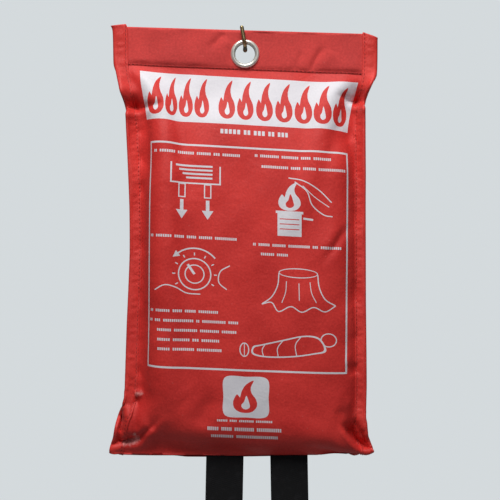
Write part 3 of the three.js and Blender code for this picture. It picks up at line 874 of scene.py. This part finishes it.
# Fourth picture: the blanket left lying over the vessel.
hoop((34.0, -145.5), 12.6, 3.2, 0.6, 30)
line([(21.6, -146.0), (20.8, -154.0), (17.0, -161.5), (10.6, -166.5)])
line([(46.4, -146.0), (47.4, -154.0), (51.0, -161.5), (57.6, -165.5)])
line([(10.6, -166.5), (17.0, -165.2), (21.5, -170.8), (29.5, -167.2), (36.5, -170.5), (44.0, -167.0),
      (51.0, -169.6), (57.6, -165.5)])
for pleat in ([(26.5, -151.0), (26.0, -158.0), (23.6, -165.0)], [(34.5, -152.0), (34.8, -163.0)],
              [(41.5, -151.0), (42.6, -158.0), (45.6, -164.0)]):
    line(pleat, 0.5)

# Fifth picture: a figure wrapped in the blanket, lying down.
hoop((53.5, -188.0), 5.2, 4.6, 0.7, 26)
white(curve([(47.6, -186.8), (38.0, -185.6), (24.0, -189.0), (10.0, -192.6), (5.0, -194.0), (4.6, -199.0),
             (14.0, -200.8), (30.0, -200.0), (44.0, -197.6), (52.0, -195.0)], True))
bare(curve([(47.0, -187.7), (38.0, -186.5), (24.0, -189.9), (10.0, -193.5), (5.9, -194.8), (5.6, -198.3),
            (14.0, -199.9), (30.0, -199.1), (44.0, -196.7), (50.6, -194.4)], True))
for turn in ([(36.0, -186.4), (32.5, -192.0), (33.5, -199.4)],
             [(24.5, -189.4), (21.0, -194.5), (21.5, -200.2)],
             [(13.0, -192.2), (11.0, -196.0), (12.0, -200.4)]):
    line(turn, 0.6)
hoop((-0.6, -196.4), 3.2, 4.6, 0.7, 22)
white(stroke([(-0.6, -192.6), (-0.6, -200.2)], 0.5))

# The badge: a flame in a rounded tile, and bars under it.
white(curve([(-13.2, -214.6), (-14.2, -226.6), (-13.2, -238.2), (0.6, -239.2), (14.4, -238.2),
             (15.4, -226.6), (14.4, -214.6), (0.6, -213.6)], True))
bare(flame((0.2, -236.4), 16.0, 20.6))
white(flame_heart((0.5, -234.2), 6.8, 8.6))
word_bars(-18.4, -241.6, (7.0, 5.0, 9.8, 11.0), 1.3, 1.2)
word_bars(-24.6, -246.8, (7.4, 7.0, 13.0, 16.2), 2.2, 1.6)
word_bars(-22.2, -251.6, (14.6, 27.2), 1.9, 1.8)


def anticlockwise(outline):
    area = sum(a[0] * b[1] - b[0] * a[1] for a, b in zip(outline, outline[1:] + outline[:1]))
    return outline if area > 0 else outline[::-1]


outlines = [(densified(anticlockwise(on_cloth(outline))), is_white) for outline, is_white in ink]

PANEL_HEIGHT = 260
HALF_PANEL = CLOTH_WIDTH / 2 - 0.25
PANEL_CORNERS = (  # clockwise from the upper left
    (-HALF_PANEL, seam_height(-HALF_PANEL) + PANEL_TOP),
    (HALF_PANEL, seam_height(HALF_PANEL) + PANEL_TOP),
    (HALF_PANEL, HEM[1] - TAKE_UP),
    (-HALF_PANEL, HEM[0] - TAKE_UP),
)


def panel_grid(spacing):
    """Evenly spaced points of a panel on the flat pattern, as rows."""
    a, b, c, d = np.array(PANEL_CORNERS)
    across = np.linspace(0, 1, int(CLOTH_WIDTH / spacing) + 1)[None, :, None]
    down = np.linspace(0, 1, int(PANEL_HEIGHT / spacing) + 1)[:, None, None]
    return (a + (b - a) * across) * (1 - down) + (d + (c - d) * across) * down


def printed_triangles():
    """Points and triangles of the front panel, with True for each triangle that is inked."""
    loops = [outline for outline, _ in outlines]
    marks = [point for loop in loops for point in loop]
    tree = kdtree.KDTree(len(marks))
    for i, (x, z) in enumerate(marks):
        tree.insert((x, z, 0), i)
    tree.balance()
    grid = panel_grid(GRAIN)
    edge = np.zeros(grid.shape[:2], bool)
    edge[0], edge[-1], edge[:, 0], edge[:, -1] = True, True, True, True
    points = list(marks)
    for (x, z), on_edge in zip(grid.reshape(-1, 2), edge.ravel()):
        if on_edge or tree.find((x, z, 0))[2] > 0.45 * GRAIN:
            points.append((x, z))
    faces, start = [], 0
    for loop in loops:
        faces.append(list(range(start, start + len(loop))))
        start += len(loop)
    made = geometry.delaunay_2d_cdt([Vector(p) for p in points], [], faces, 0, 1e-4)
    inked = [bool(sources) and outlines[max(sources)][1] for sources in made[5]]
    return np.array([tuple(p) for p in made[0]]), made[2], inked


def standing_off(surface, flat, offset):
    """Places at an offset from the cloth, outwards from the pouch's front."""
    place, normal = surface.at(flat[:, 0], flat[:, 1])
    return place + normal * offset[:, None]


def thick_sheet(outer, inner, triangles):
    """Joins two layers of the same triangles into one closed sheet, the outer layer's faces first."""
    count = len(outer)
    borders = {}
    for a, b, c in triangles:
        for edge in ((a, b), (b, c), (c, a)):
            borders[edge] = borders.get(edge, 0) + 1
    walls = [(b, a, a + count, b + count) for a, b in borders if (b, a) not in borders]
    back = [(c + count, b + count, a + count) for a, b, c in triangles]
    return np.vstack([outer, inner]), list(triangles) + back + walls


def facing_front(flat, triangles):
    """Triangles that run anticlockwise as seen from the front."""
    out = []
    for a, b, c in triangles:
        ab, ac = flat[b] - flat[a], flat[c] - flat[a]
        out.append((a, b, c) if ab[0] * ac[1] - ab[1] * ac[0] > 0 else (a, c, b))
    return out


HEM_OPENING = 0.85  # how far each panel stands off the middle at the hem, to let the tabs out between them
OPENING_HEIGHT = 30
OPENING_CENTRE, OPENING_REACH = 7, 52
PANEL_GAP = 0.03  # half of the room between the two panels where they are sewn


def hem_opening(flat):
    x, z = flat.T
    above_hem = z - np.interp(x, (-CLOTH_WIDTH / 2, CLOTH_WIDTH / 2), (HEM[0] - TAKE_UP, HEM[1] - TAKE_UP))
    near_hem = 1 - np.clip(above_hem / OPENING_HEIGHT, 0, 1)
    return HEM_OPENING * near_hem * ease((OPENING_REACH - np.abs(x - OPENING_CENTRE)) / 10)


flat_points, flat_triangles, inked = printed_triangles()
flat_triangles = facing_front(flat_points, flat_triangles)
opening = hem_opening(flat_points)
outer = standing_off(front_cloth, flat_points, opening + PANEL_THICKNESS)
inner = standing_off(front_cloth, flat_points, opening + PANEL_GAP)
points, faces = thick_sheet(outer, inner, flat_triangles)
front_panel = new_object("front_panel", points, faces, [coated_red, print_white])
lay_pattern(front_panel, np.vstack([flat_points, flat_points]))
for polygon, is_inked in zip(front_panel.data.polygons, inked):
    polygon.material_index = int(is_inked)
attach(front_panel, "root")
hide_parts("pouch")


# ------------------------------------------------ Back panel
# The same coated cloth as the front, with no print, coloured darker than the front as painted shade. It lies
# against the wall and is sewn to the front panel along both sides and the hem.

# A darker copy of the front's cloth: painted shade.
coated_back = cloth_material(
    "coated_back", (0.46, 0.020, 0.018, 1), (0.62, 0.036, 0.030, 1), 0.6, 0.024, 0.55, 0.8,
    scuffed=(0.60, 0.20, 0.18, 1), sheen=0.03,
)


def grid_triangles(rows, columns):
    """Two triangles for each cell of a grid of points."""
    out = []
    for r in range(rows - 1):
        for c in range(columns - 1):
            a, b = r * columns + c, r * columns + c + 1
            d, e = a + columns, b + columns
            out += [(a, d, e), (a, e, b)]
    return out


back_grid = panel_grid(2.0)
back_flat = back_grid.reshape(-1, 2)
opening = hem_opening(back_flat)
outer = standing_off(back_cloth, back_flat, -opening - PANEL_THICKNESS)
inner = standing_off(back_cloth, back_flat, -opening - PANEL_GAP)
triangles = [(a, c, b) for a, b, c in facing_front(back_flat, grid_triangles(*back_grid.shape[:2]))]
points, faces = thick_sheet(outer, inner, triangles)
back_panel = new_object("back_panel", points, faces, [coated_back])
lay_pattern(back_panel, np.vstack([back_flat, back_flat]))
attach(back_panel, "root")


# ------------------------------------------------ Heading
# A strip of cloth folded over the top edge of both panels and stitched through near its lower edge. It is
# matt, because its uncoated side shows, and the eyelet is pressed through it.

HEADING_GAP = 0.55  # from the middle of the layers to the strip's inside
HEADING_WALL = 0.6
HEADING_STITCH = 1.0  # height of the stitching above the strip's lower edge

heading_cloth = cloth_material(
    "heading_cloth", (0.50, 0.030, 0.028, 1), (0.72, 0.056, 0.050, 1), 0.80, 0.045, 0.6, 0.7,
    scuffed=(0.72, 0.20, 0.18, 1), sheen=0.12,
)


def tube_faces(rows, around, closed=False):
    """Quads between rows of points that go round a tube, and from the last row to the first if closed."""
    faces = []
    total = rows * around
    for k in range(rows if closed else rows - 1):
        for j in range(around):
            a, b = k * around + j, k * around + (j + 1) % around
            faces.append((a, b, (b + around) % total, (a + around) % total))
    return faces


def flat_tube_faces(rows, around):
    """A flat tube's quads, with more quads that close its two ends."""
    faces = tube_faces(rows, around)
    for k in (0, rows - 1):
        for j in range(around // 2 - 1):
            a, b = k * around + j, k * around + j + 1
            c, d = k * around + around - 2 - j, k * around + around - 1 - j
            faces.append((a, d, c, b) if k == 0 else (a, b, c, d))
    return faces


def folded_strip(edge, inward, depth, gap, wall, puff, step=1.0, arc_steps=9):
    """A strip folded round an edge of the pouch. edge is a row of places on the flat pattern, inward the
    way from each to the cloth's middle, depth how far the strip reaches in, gap and wall its thickness at
    each place, and puff(station, inward distance, front) how far it swells. Returns points, faces and
    pattern places."""
    count = len(edge)
    across = max(3, int(np.max(depth) / step))
    outer_rows, inner_rows, flats = [], [], []
    shares = np.linspace(1, 0, across + 1)
    for front in (True, False):
        surface = front_cloth if front else back_cloth
        sign = 1 if front else -1
        order = shares if front else shares[::-1]
        if not front:
            place, normal = surface.at(edge[:, 0], edge[:, 1])
            outward, _ = surface.at(edge[:, 0] - inward[:, 0], edge[:, 1] - inward[:, 1])
            outward = outward - place
            outward -= normal * np.einsum("ij,ij->i", outward, normal)[:, None]
            outward /= np.linalg.norm(outward, axis=1, keepdims=True)
            for angle in np.linspace(0, math.pi, arc_steps + 2)[1:-1]:
                way = normal * math.cos(angle) + outward * math.sin(angle)
                outer_rows.append(place + way * (gap + wall)[:, None])
                inner_rows.append(place + way * gap[:, None])
                flats.append(edge - inward * (math.sin(angle) * 0.5))
        for share in order:
            flat = edge + inward * (depth * share)[:, None]
            place, normal = surface.at(flat[:, 0], flat[:, 1])
            swell = puff(np.arange(count), depth * share, front)
            outer_rows.append(place + normal * (sign * (gap + wall + swell))[:, None])
            inner_rows.append(place + normal * (sign * (gap + swell * 0.6))[:, None])
            flats.append(flat)
    ring = outer_rows + inner_rows[::-1]
    places = np.stack(flats + flats[::-1], 1).reshape(-1, 2)
    return np.stack(ring, 1).reshape(-1, 3), flat_tube_faces(count, len(ring)), places


def outward_faces(made):
    """Turns a closed mesh's faces outwards."""
    volume = 0.0
    mesh = made.data
    for polygon in mesh.polygons:
        corners = [mesh.vertices[i].co for i in polygon.vertices]
        for i in range(1, len(corners) - 1):
            volume += corners[0].dot(corners[i].cross(corners[i + 1]))
    if volume < 0:
        mesh.flip_normals()


STITCH_PITCH = 2.6
THREAD = 0.5


def stitch_dent(distance, depth, width=0.8):
    """How the cloth dips under a row of stitches."""
    return -depth * np.exp(-((distance / width) ** 2))


# How far the heading bellies out above its stitching, along x.
HEADING_BELLY = (
    (-78, 0), (-72, 0.9), (-66, 1.3), (-60, 0.6), (-51, 1.2), (-43, 0.4), (-33, 1.0), (-20, 0.3), (0, 0.2),
    (20, 0.3), (33, 0.8), (44, 0.4), (60, 1.0), (72, 1.1), (78, 0),
)
heading_x = np.arange(-CLOTH_WIDTH / 2 + 4.5, CLOTH_WIDTH / 2 - 4.4, 0.65)
heading_top = np.interp(heading_x, (-CLOTH_WIDTH / 2, CLOTH_WIDTH / 2), HEADING_TOP)
heading_edge = np.stack([heading_x, heading_top - 0.5], 1)
heading_depth = heading_edge[:, 1] - seam_height(heading_x)
down = np.tile((0.0, -1.0), (len(heading_x), 1))
ones = np.ones(len(heading_x))


def heading_puff(station, inward, front):
    above_seam = heading_depth[station] - inward
    hole = 1 + 0.6 * np.cos(2 * math.pi * heading_x[station] / STITCH_PITCH)
    belly = np.interp(heading_x[station], *np.array(HEADING_BELLY).T) * (1.0 if front else 0.3)
    swell = belly * ease((above_seam - HEADING_STITCH) / 3.2) * np.exp(-((above_seam - 5) / 9) ** 2)
    near_eyelet = np.clip(np.hypot(heading_x[station] - 0.2, above_seam - 11.6) / 6 - 1.3, 0, 1)
    pressed = -0.5 * np.exp(-((above_seam / 1.2) ** 2))
    return stitch_dent(above_seam - HEADING_STITCH, 0.2) * hole + pressed + swell * near_eyelet


points, faces, places = folded_strip(
    heading_edge, down, heading_depth, HEADING_GAP * ones, HEADING_WALL * ones, heading_puff)
heading = new_object("heading_strip", points, faces, [heading_cloth])
lay_pattern(heading, places)
outward_faces(heading)

eyelet_low, eyelet_high = node_box("eyelet")
EYELET_X, EYELET_Z = (eyelet_low[0] + eyelet_high[0]) / 2, (eyelet_low[2] + eyelet_high[2]) / 2
BARREL = 7.0  # radius of the hole that the eyelet's tube fills


def round_cutter(radius, centre, depth, steps=72):
    """A plug along y that cuts the eyelet's hole."""
    angles = np.linspace(0, 2 * math.pi, steps, endpoint=False)
    rim = [(centre[0] + radius * math.cos(a), centre[2] + radius * math.sin(a)) for a in angles]
    near = [(x, centre[1] - depth, z) for x, z in rim]
    far = [(x, centre[1] + depth, z) for x, z in rim]
    faces = [tuple(range(steps)), tuple(range(2 * steps - 1, steps - 1, -1))]
    faces += [(i, i + steps, (i + 1) % steps + steps, (i + 1) % steps) for i in range(steps)]
    return new_object("cutter", near + far, faces, [])


def applied(made):
    """Makes an object's modifiers into plain mesh."""
    bpy.context.view_layer.update()
    seen = made.evaluated_get(bpy.context.evaluated_depsgraph_get())
    finished = bpy.data.meshes.new_from_object(seen)
    finished.name = made.data.name
    made.modifiers.clear()
    made.data = finished


cutter = round_cutter(BARREL, (EYELET_X, SEAM_Y, EYELET_Z), 6)
outward_faces(cutter)
cut = heading.modifiers.new("hole", "BOOLEAN")
cut.operation = "DIFFERENCE"
cut.object = cutter
cut.solver = "EXACT"
applied(heading)
bpy.data.objects.remove(cutter)
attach(heading, "root")
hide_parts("heading")


# ------------------------------------------------ Side bindings
# A narrow strip of coated cloth folded over each side edge, from just above the heading to the hem, with one
# row of stitching near its inner edge. It is the panels' cloth, coloured brighter than them as painted light.
# The cloth under it gathers, so it swells between stitches.

BINDING_DEPTH = 8.0
BINDING_RISE = (1.2, -1.2)  # of the outer corner at the left and right end, above the heading
BINDING_SLANT = (0.10, 0.36)  # of its top edge
BINDING_FLARE = (1.3, 0.2)  # how far its top corner stands out
BINDING_WALL = 0.6
BINDING_STITCH = 6.5  # from the cloth's edge


def binding_gap(end, z):
    """From the middle of the layers to the binding's inside, which is more over the heading."""
    in_heading = np.clip((4 - (HEADING_SEAM[end] - z)) / 5, 0, 1)
    return PANEL_THICKNESS + 0.08 + (HEADING_WALL + 0.1) * in_heading


# Coloured brighter than the panels' cloth: painted light.
binding_cloth = cloth_material(
    "binding_cloth", (0.58, 0.026, 0.022, 1), (0.78, 0.048, 0.038, 1), 0.5, 0.030, 0.5, 0.6,
    scuffed=(0.78, 0.20, 0.16, 1), sheen=0.06, gloss=0.38,
)


def make_binding(side):
    sign = -1 if side == "left" else 1
    end = 0 if side == "left" else 1
    top, foot = HEADING_TOP[end] + BINDING_RISE[end], HEM[end] - TAKE_UP
    z = np.arange(top, foot - 0.01, -0.7)
    flare = BINDING_FLARE[end] * np.exp((z - top) / 1.6)
    edge = np.stack([sign * (CLOTH_WIDTH / 2 + flare), z], 1)
    slant = BINDING_SLANT[end] * np.clip(1 - (top - z) / 9, 0, 1)
    inward = np.stack([np.full(len(z), -float(sign)), slant], 1)

    def puff(station, inward_distance, front):
        swell = 0.45 * np.sin(np.clip(inward_distance / BINDING_STITCH, 0, 1) * math.pi) ** 0.8
        gather = 0.25 * np.sin(z[station] * 1.1 + 1.3 * np.sin(z[station] * 0.37))
        hole = 1 + 0.6 * np.cos(2 * math.pi * z[station] / STITCH_PITCH)
        return swell + stitch_dent(inward_distance - BINDING_STITCH, 0.18) * hole + gather * swell

    ones = np.ones(len(z))
    points, faces, places = folded_strip(
        edge, inward, BINDING_DEPTH * ones, binding_gap(end, z), BINDING_WALL * ones, puff,
        step=0.7, arc_steps=7,
    )
    made = new_object(f"binding_{side}_strip", points, faces, [binding_cloth])
    lay_pattern(made, places)
    outward_faces(made)
    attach(made, "root")
    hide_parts(f"binding_{side}")


make_binding("left")
make_binding("right")


# ------------------------------------------------ Stitching
# Lockstitch in red thread: one row across the heading and one down each binding. Each stitch is a short,
# thick piece of thread that sinks into the cloth at both ends.

thread_red, tree, shader = new_material("thread_red")
twist = noise(tree, add_node(tree, "ShaderNodeTexCoord").outputs["Object"], 2600.0, 2.0)
dye = blend(tree, twist, (0.36, 0.022, 0.022, 1), (0.52, 0.034, 0.030, 1))
fill_inputs(tree, shader, Base_Color=dye, Roughness=0.6)


def end_faces(rows, around):
    """A tube's two ends."""
    last = (rows - 1) * around
    return [tuple(reversed(range(around))), tuple(range(last, last + around))]


def stitch_shape():
    """One stitch along +X, one unit long and one unit thick, with its ends dipping."""
    points, rings, sides = [], 7, 6
    for i in range(rings):
        share = i / (rings - 1)
        x = (share - 0.5) * 0.86
        rise = 0.25 - 0.9 * abs(2 * share - 1) ** 3
        girth = 0.5 * math.sqrt(max(0.06, 1 - abs(2 * share - 1) ** 4))
        for k in range(sides):
            angle = 2 * math.pi * k / sides
            points.append((x, girth * math.cos(angle), rise + girth * math.sin(angle)))
    faces = tube_faces(rings, sides) + end_faces(rings, sides)
    made = new_object("stitch", np.array(points) / MM, faces, [])
    outward_faces(made)
    return made


def stitching_tree():
    """Lays a stitch along an edge path, with inputs for the pitch, the thread and the material."""
    tree = bpy.data.node_groups.new("stitching", "GeometryNodeTree")
    face = tree.interface
    face.new_socket("Geometry", in_out="INPUT", socket_type="NodeSocketGeometry")
    sockets = {}
    for label, kind in (("Stitch", "NodeSocketObject"), ("Stitch Pitch", "NodeSocketFloat"),
                        ("Thread Thickness", "NodeSocketFloat"), ("Unevenness", "NodeSocketFloat"),
                        ("Seed", "NodeSocketInt"), ("Thread", "NodeSocketMaterial")):
        sockets[label] = face.new_socket(label, in_out="INPUT", socket_type=kind).identifier
    face.new_socket("Geometry", in_out="OUTPUT", socket_type="NodeSocketGeometry")
    given, result = tree.nodes.new("NodeGroupInput"), tree.nodes.new("NodeGroupOutput")
    path = add_node(tree, "GeometryNodeMeshToCurve", _0=given.outputs["Geometry"])
    spaced = tree.nodes.new("GeometryNodeResampleCurve")
    spaced.mode = "LENGTH"
    tree.links.new(path.outputs[0], spaced.inputs["Curve"])
    tree.links.new(given.outputs["Stitch Pitch"], spaced.inputs["Length"])
    vector = {"data_type": "FLOAT_VECTOR"}
    normal = add_node(tree, "GeometryNodeInputNamedAttribute", vector, Name="cloth_normal")
    along = tree.nodes.new("GeometryNodeInputTangent")
    lean = add_node(
        tree, "FunctionNodeRandomValue", vector, _0=(-1, -1, -1), _1=(1, 1, 1), Seed=given.outputs["Seed"])
    waver = add_node(tree, "ShaderNodeVectorMath", {"operation": "SCALE"}, _0=lean.outputs[0],
                     Scale=given.outputs["Unevenness"])
    way = add_node(
        tree, "ShaderNodeVectorMath", {"operation": "ADD"}, _0=along.outputs[0], _1=waver.outputs[0])
    level = add_node(tree, "FunctionNodeAlignRotationToVector", {"axis": "X"}, Vector=way.outputs[0])
    facing = add_node(tree, "FunctionNodeAlignRotationToVector", {"axis": "Z", "pivot_axis": "X"},
                      Rotation=level.outputs[0], Vector=normal.outputs[0])
    size = add_node(tree, "ShaderNodeCombineXYZ", X=given.outputs["Stitch Pitch"],
                    Y=given.outputs["Thread Thickness"], Z=given.outputs["Thread Thickness"])
    shape = add_node(tree, "GeometryNodeObjectInfo", Object=given.outputs["Stitch"])
    placed = add_node(tree, "GeometryNodeInstanceOnPoints", Points=spaced.outputs[0],
                      Rotation=facing.outputs[0], Scale=size.outputs[0])
    tree.links.new(shape.outputs["Geometry"], placed.inputs["Instance"])
    real = add_node(tree, "GeometryNodeRealizeInstances", _0=placed.outputs[0])
    dyed = add_node(tree, "GeometryNodeSetMaterial", _0=real.outputs[0], Material=given.outputs["Thread"])
    tree.links.new(dyed.outputs[0], result.inputs[0])
    return tree, sockets


stitching, stitching_inputs = stitching_tree()
one_stitch = stitch_shape()


def sew(name, places, normals):
    """A row of stitches along places on the cloth."""
    made = new_object(name, places, [], [])
    made.data.edges.add(len(places) - 1)
    for i, edge in enumerate(made.data.edges):
        edge.vertices = (i, i + 1)
    layer = made.data.attributes.new("cloth_normal", "FLOAT_VECTOR", "POINT")
    layer.data.foreach_set("vector", np.asarray(normals, np.float32).ravel())
    modifier = made.modifiers.new("stitching", "NODES")
    modifier.node_group = stitching
    for label, value in (("Stitch", one_stitch), ("Stitch Pitch", STITCH_PITCH * MM), ("Seed", SEED),
                         ("Thread Thickness", THREAD * MM), ("Unevenness", 0.05), ("Thread", thread_red)):
        modifier[stitching_inputs[label]] = value
    applied(made)
    made.data.polygons.foreach_set("use_smooth", [True] * len(made.data.polygons))
    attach(made, "root")


row_x = np.arange(-CLOTH_WIDTH / 2 + 8.5, CLOTH_WIDTH / 2 - 8, 1.0)
row_z = seam_height(row_x) + HEADING_STITCH
for face_name, sign, surface in (("front", 1, front_cloth), ("back", -1, back_cloth)):
    place, normal = surface.at(row_x, row_z)
    height = HEADING_GAP + HEADING_WALL - 0.3
    sew(f"heading_stitches_{face_name}", place + normal * sign * height, normal * sign)
for side, sign, end in (("left", -1, 0), ("right", 1, 1)):
    edge_z = np.arange(HEADING_TOP[end] + 0.5, HEM[end] - TAKE_UP + 3, -1.0)
    flat_x = np.full(len(edge_z), sign * (CLOTH_WIDTH / 2 - BINDING_STITCH))
    height = binding_gap(end, edge_z) + BINDING_WALL - 0.16
    for face_name, turn, surface in (("front", 1, front_cloth), ("back", -1, back_cloth)):
        place, normal = surface.at(flat_x, edge_z)
        sew(f"binding_{side}_stitches_{face_name}", place + normal * (turn * height)[:, None],
            normal * turn)
bpy.data.objects.remove(one_stitch)


# ------------------------------------------------ Eyelet and washer
# A nickel-plated brass eyelet pressed through the heading, with a rolled rim in front and a plain washer
# behind. Its plating has fine scratches from the hook.

nickel, tree, shader = new_material("nickel")
place = add_node(tree, "ShaderNodeTexCoord").outputs["Object"]
cloudy = noise(tree, place, 320.0, 4.0)
scratches = sums(tree, "MULTIPLY", noise(tree, place, 2400.0, 2.0), 0.03 * MM)
fill_inputs(
    tree, shader, Base_Color=blend(tree, cloudy, (0.70, 0.68, 0.62, 1), (0.88, 0.86, 0.80, 1)),
    Roughness=sums(tree, "MULTIPLY_ADD", cloudy, 0.20, 0.22), Metallic=0.65, Normal=bumped(tree, scratches),
)


def turned_ring(name, profile, steps=96):
    """A ring turned about the eyelet's axis from a closed profile of (radius, y)."""
    points = []
    for angle in np.linspace(0, 2 * math.pi, steps, endpoint=False):
        for radius, y in profile:
            points.append((EYELET_X + radius * math.cos(angle), y, EYELET_Z + radius * math.sin(angle)))
    made = new_object(name, points, tube_faces(steps, len(profile), closed=True), [nickel])
    outward_faces(made)
    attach(made, "root")
    return made


RIM_INSIDE, RIM_OUTSIDE = 6.4, 9.35
rim_y = SEAM_Y - HEADING_GAP - HEADING_WALL - 0.25
roll = (RIM_OUTSIDE - RIM_INSIDE) / 2
rolled = np.radians(np.linspace(0, 180, 23))
rim_profile = [(RIM_INSIDE + roll + roll * math.cos(a), rim_y - roll * math.sin(a)) for a in rolled]
rim_profile += [(RIM_INSIDE, SEAM_Y + 1.6), (6.7, SEAM_Y + 2.2), (6.95, SEAM_Y + 1.6)]
rim_profile += [(6.95, rim_y + 0.35), (9.1, rim_y + 0.30)]
eyelet_ring = turned_ring("eyelet_ring", rim_profile)
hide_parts("eyelet")
washer_y = SEAM_Y + HEADING_GAP + HEADING_WALL + 0.3
washer_profile = [(7.05, washer_y), (9.0, washer_y), (9.1, washer_y + 0.25), (8.8, washer_y + 0.5),
                  (7.8, washer_y + 0.62), (7.2, washer_y + 0.5), (7.02, washer_y + 0.2)]
washer_ring = turned_ring("washer_ring", washer_profile)
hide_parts("eyelet_washer")


# ------------------------------------------------ Screw hook
# A hook bent from one length of wire, with a rolled screw thread that goes into the wall. It is dull
# brass-plated steel, and the eyelet hangs on its bend.

WIRE = 1.25  # radius
BEND = 4.2  # radius of the bend's centre line
REACH = -11.2  # y where the bend begins
TIP = 12.0  # height of the upright end above the shank
LEAN = math.radians(10)
THREAD_LENGTH = 14.0
THREAD_PITCH = 1.4

dull_brass, tree, shader = new_material("dull_brass")
place = add_node(tree, "ShaderNodeTexCoord").outputs["Object"]
aged = ramp(tree, noise(tree, place, 520.0, 5.0), 0.38, 0.66)
drawn = sums(tree, "MULTIPLY", noise(tree, place, 1900.0, 2.0), 0.04 * MM)
fill_inputs(
    tree, shader, Base_Color=blend(tree, aged, (0.42, 0.33, 0.17, 1), (0.16, 0.115, 0.06, 1)),
    Roughness=sums(tree, "MULTIPLY_ADD", aged, 0.25, 0.25), Metallic=0.9, Normal=bumped(tree, drawn),
)


def hook_route():
    """Centre line from the screw's point to the hook's tip, before it leans, as (y, z) with its radius."""
    route = []
    for y in np.arange(THREAD_LENGTH, 0.2, -0.1):
        taper = min(1.0, (THREAD_LENGTH - y) / 2.4)
        route.append((y, 0.0, "thread", 0.12 + 0.88 * taper))
    for y in np.linspace(0.1, REACH, 26):
        route.append((y, 0.0, "plain", 1.0))
    for angle in np.radians(np.linspace(4, 86, 20)):
        route.append((REACH - BEND * math.sin(angle), BEND - BEND * math.cos(angle), "plain", 1.0))
    for share in np.linspace(0, 1, 14):
        route.append((REACH - BEND + 0.8 * share, BEND + (TIP - BEND) * share, "plain", 1.0))
    for angle in np.radians(np.linspace(15, 88, 7)):
        route.append((REACH - BEND + 0.8, TIP + WIRE * math.sin(angle), "plain", math.cos(angle)))
    return route


def screw_hook(sides=28):
    route = hook_route()
    centre = np.array([(0, y, z) for y, z, _, _ in route])
    ahead = np.gradient(centre, axis=0)
    ahead /= np.linalg.norm(ahead, axis=1, keepdims=True)
    side = np.array([1.0, 0, 0])
    points = []
    for (y, _, kind, girth), middle, forward in zip(route, centre, ahead):
        up = np.cross(side, forward)
        for k in range(sides):
            angle = 2 * math.pi * k / sides
            radius = WIRE * girth
            if kind == "thread":
                turn = (y / THREAD_PITCH + k / sides) % 1.0
                ridge = max(0.0, 1 - abs(turn - 0.5) * 4.2)
                fade = min(1.0, (y - 0.2) / 1.5) if y < 1.7 else 1.0
                radius = girth * (WIRE - 0.24 * fade + 0.45 * ridge * fade)
            points.append(middle + radius * (math.cos(angle) * side + math.sin(angle) * up))
    x, y, z = np.array(points).T
    lean_x, lean_z = math.cos(LEAN), math.sin(LEAN)
    points = np.stack([x * lean_x - z * lean_z, y, x * lean_z + z * lean_x], 1)
    faces = tube_faces(len(route), sides) + end_faces(len(route), sides)
    return new_object("hook_wire", points, faces, [dull_brass])


hook_wire = screw_hook()
outward_faces(hook_wire)
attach(hook_wire, "root")
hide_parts("hook")


# ------------------------------------------------ Pull tabs
# Two lengths of black webbing, sewn to the blanket inside and hanging out of the hem. Fine ribs run across
# them, and their edges are firm and slightly rounded.

TAB_WIDTH = 25.0
TAB_THICKNESS = 1.4
TAB_HELD = 7  # length that the hem holds straight
RIB = 1.25  # pitch of the cross ribs
WARP_PITCH = 1.1

webbing, tree, shader = new_material("webbing")
place = add_node(tree, "ShaderNodeUVMap", {"uv_map": "pattern"}).outputs[0]
across = add_node(tree, "ShaderNodeSeparateXYZ", Vector=place).outputs[0]
grey = ramp(tree, noise(tree, place, 160.0, 5.0), 0.52, 0.75)
warp = sums(tree, "SINE", sums(tree, "MULTIPLY", across, 2 * math.pi / (WARP_PITCH * MM)))
fibres = sums(tree, "MULTIPLY", noise(tree, place, 1500.0, 3.0), 0.08 * MM)
fill_inputs(
    tree, shader, Base_Color=blend(tree, grey, (0.0035, 0.0035, 0.0045, 1), (0.010, 0.010, 0.012, 1)),
    Normal=bumped(tree, sums(tree, "MULTIPLY_ADD", warp, 0.05 * MM, fibres)), Roughness=0.8,
    Specular_IOR_Level=0.25, Sheen_Weight=0.02,
)


def make_tab(side):
    low, high = node_box(f"pull_tab_{side}")
    length = high[2] - low[2]
    lean = (high[0] - low[0] - TAB_WIDTH) * (-1 if side == "left" else 1)
    top_x = (low[0] + high[0]) / 2 - lean / 2
    curl = high[1] - low[1] - TAB_THICKNESS
    rows, columns = int(length / (RIB / 5)), 36
    points, places = [], []
    around = 2 * columns
    for i in range(rows + 1):
        down = i / rows
        free = max(0.0, (down * length - TAB_HELD) / (length - TAB_HELD))
        middle = (top_x + lean * free, high[1] - TAB_THICKNESS / 2 - curl * free**2, high[2] - length * down)
        rib = math.sin(2 * math.pi * down * length / RIB)
        for k in range(around):
            front = k < columns
            share = (k + 0.5) / columns if front else (around - k - 0.5) / columns
            across = (share - 0.5) * TAB_WIDTH
            edge = min(1.0, (TAB_WIDTH / 2 - abs(across)) / 0.9)
            weave_rise = 0.07 * rib * (1 if int(share * 12) % 2 else -1)
            half = (TAB_THICKNESS / 2 - 0.1) * math.sqrt(max(0.05, edge * (2 - edge))) + weave_rise * edge
            bow = 0.35 * free * (1 - (2 * across / TAB_WIDTH) ** 2)
            y = middle[1] - bow + (-half if front else half)
            points.append((middle[0] + across, y, middle[2]))
            places.append((across, down * length))
    made = new_object(f"tab_{side}", points, flat_tube_faces(rows + 1, around), [webbing])
    lay_pattern(made, places)
    outward_faces(made)
    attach(made, "root")
    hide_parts(f"pull_tab_{side}")


make_tab("left")
make_tab("right")
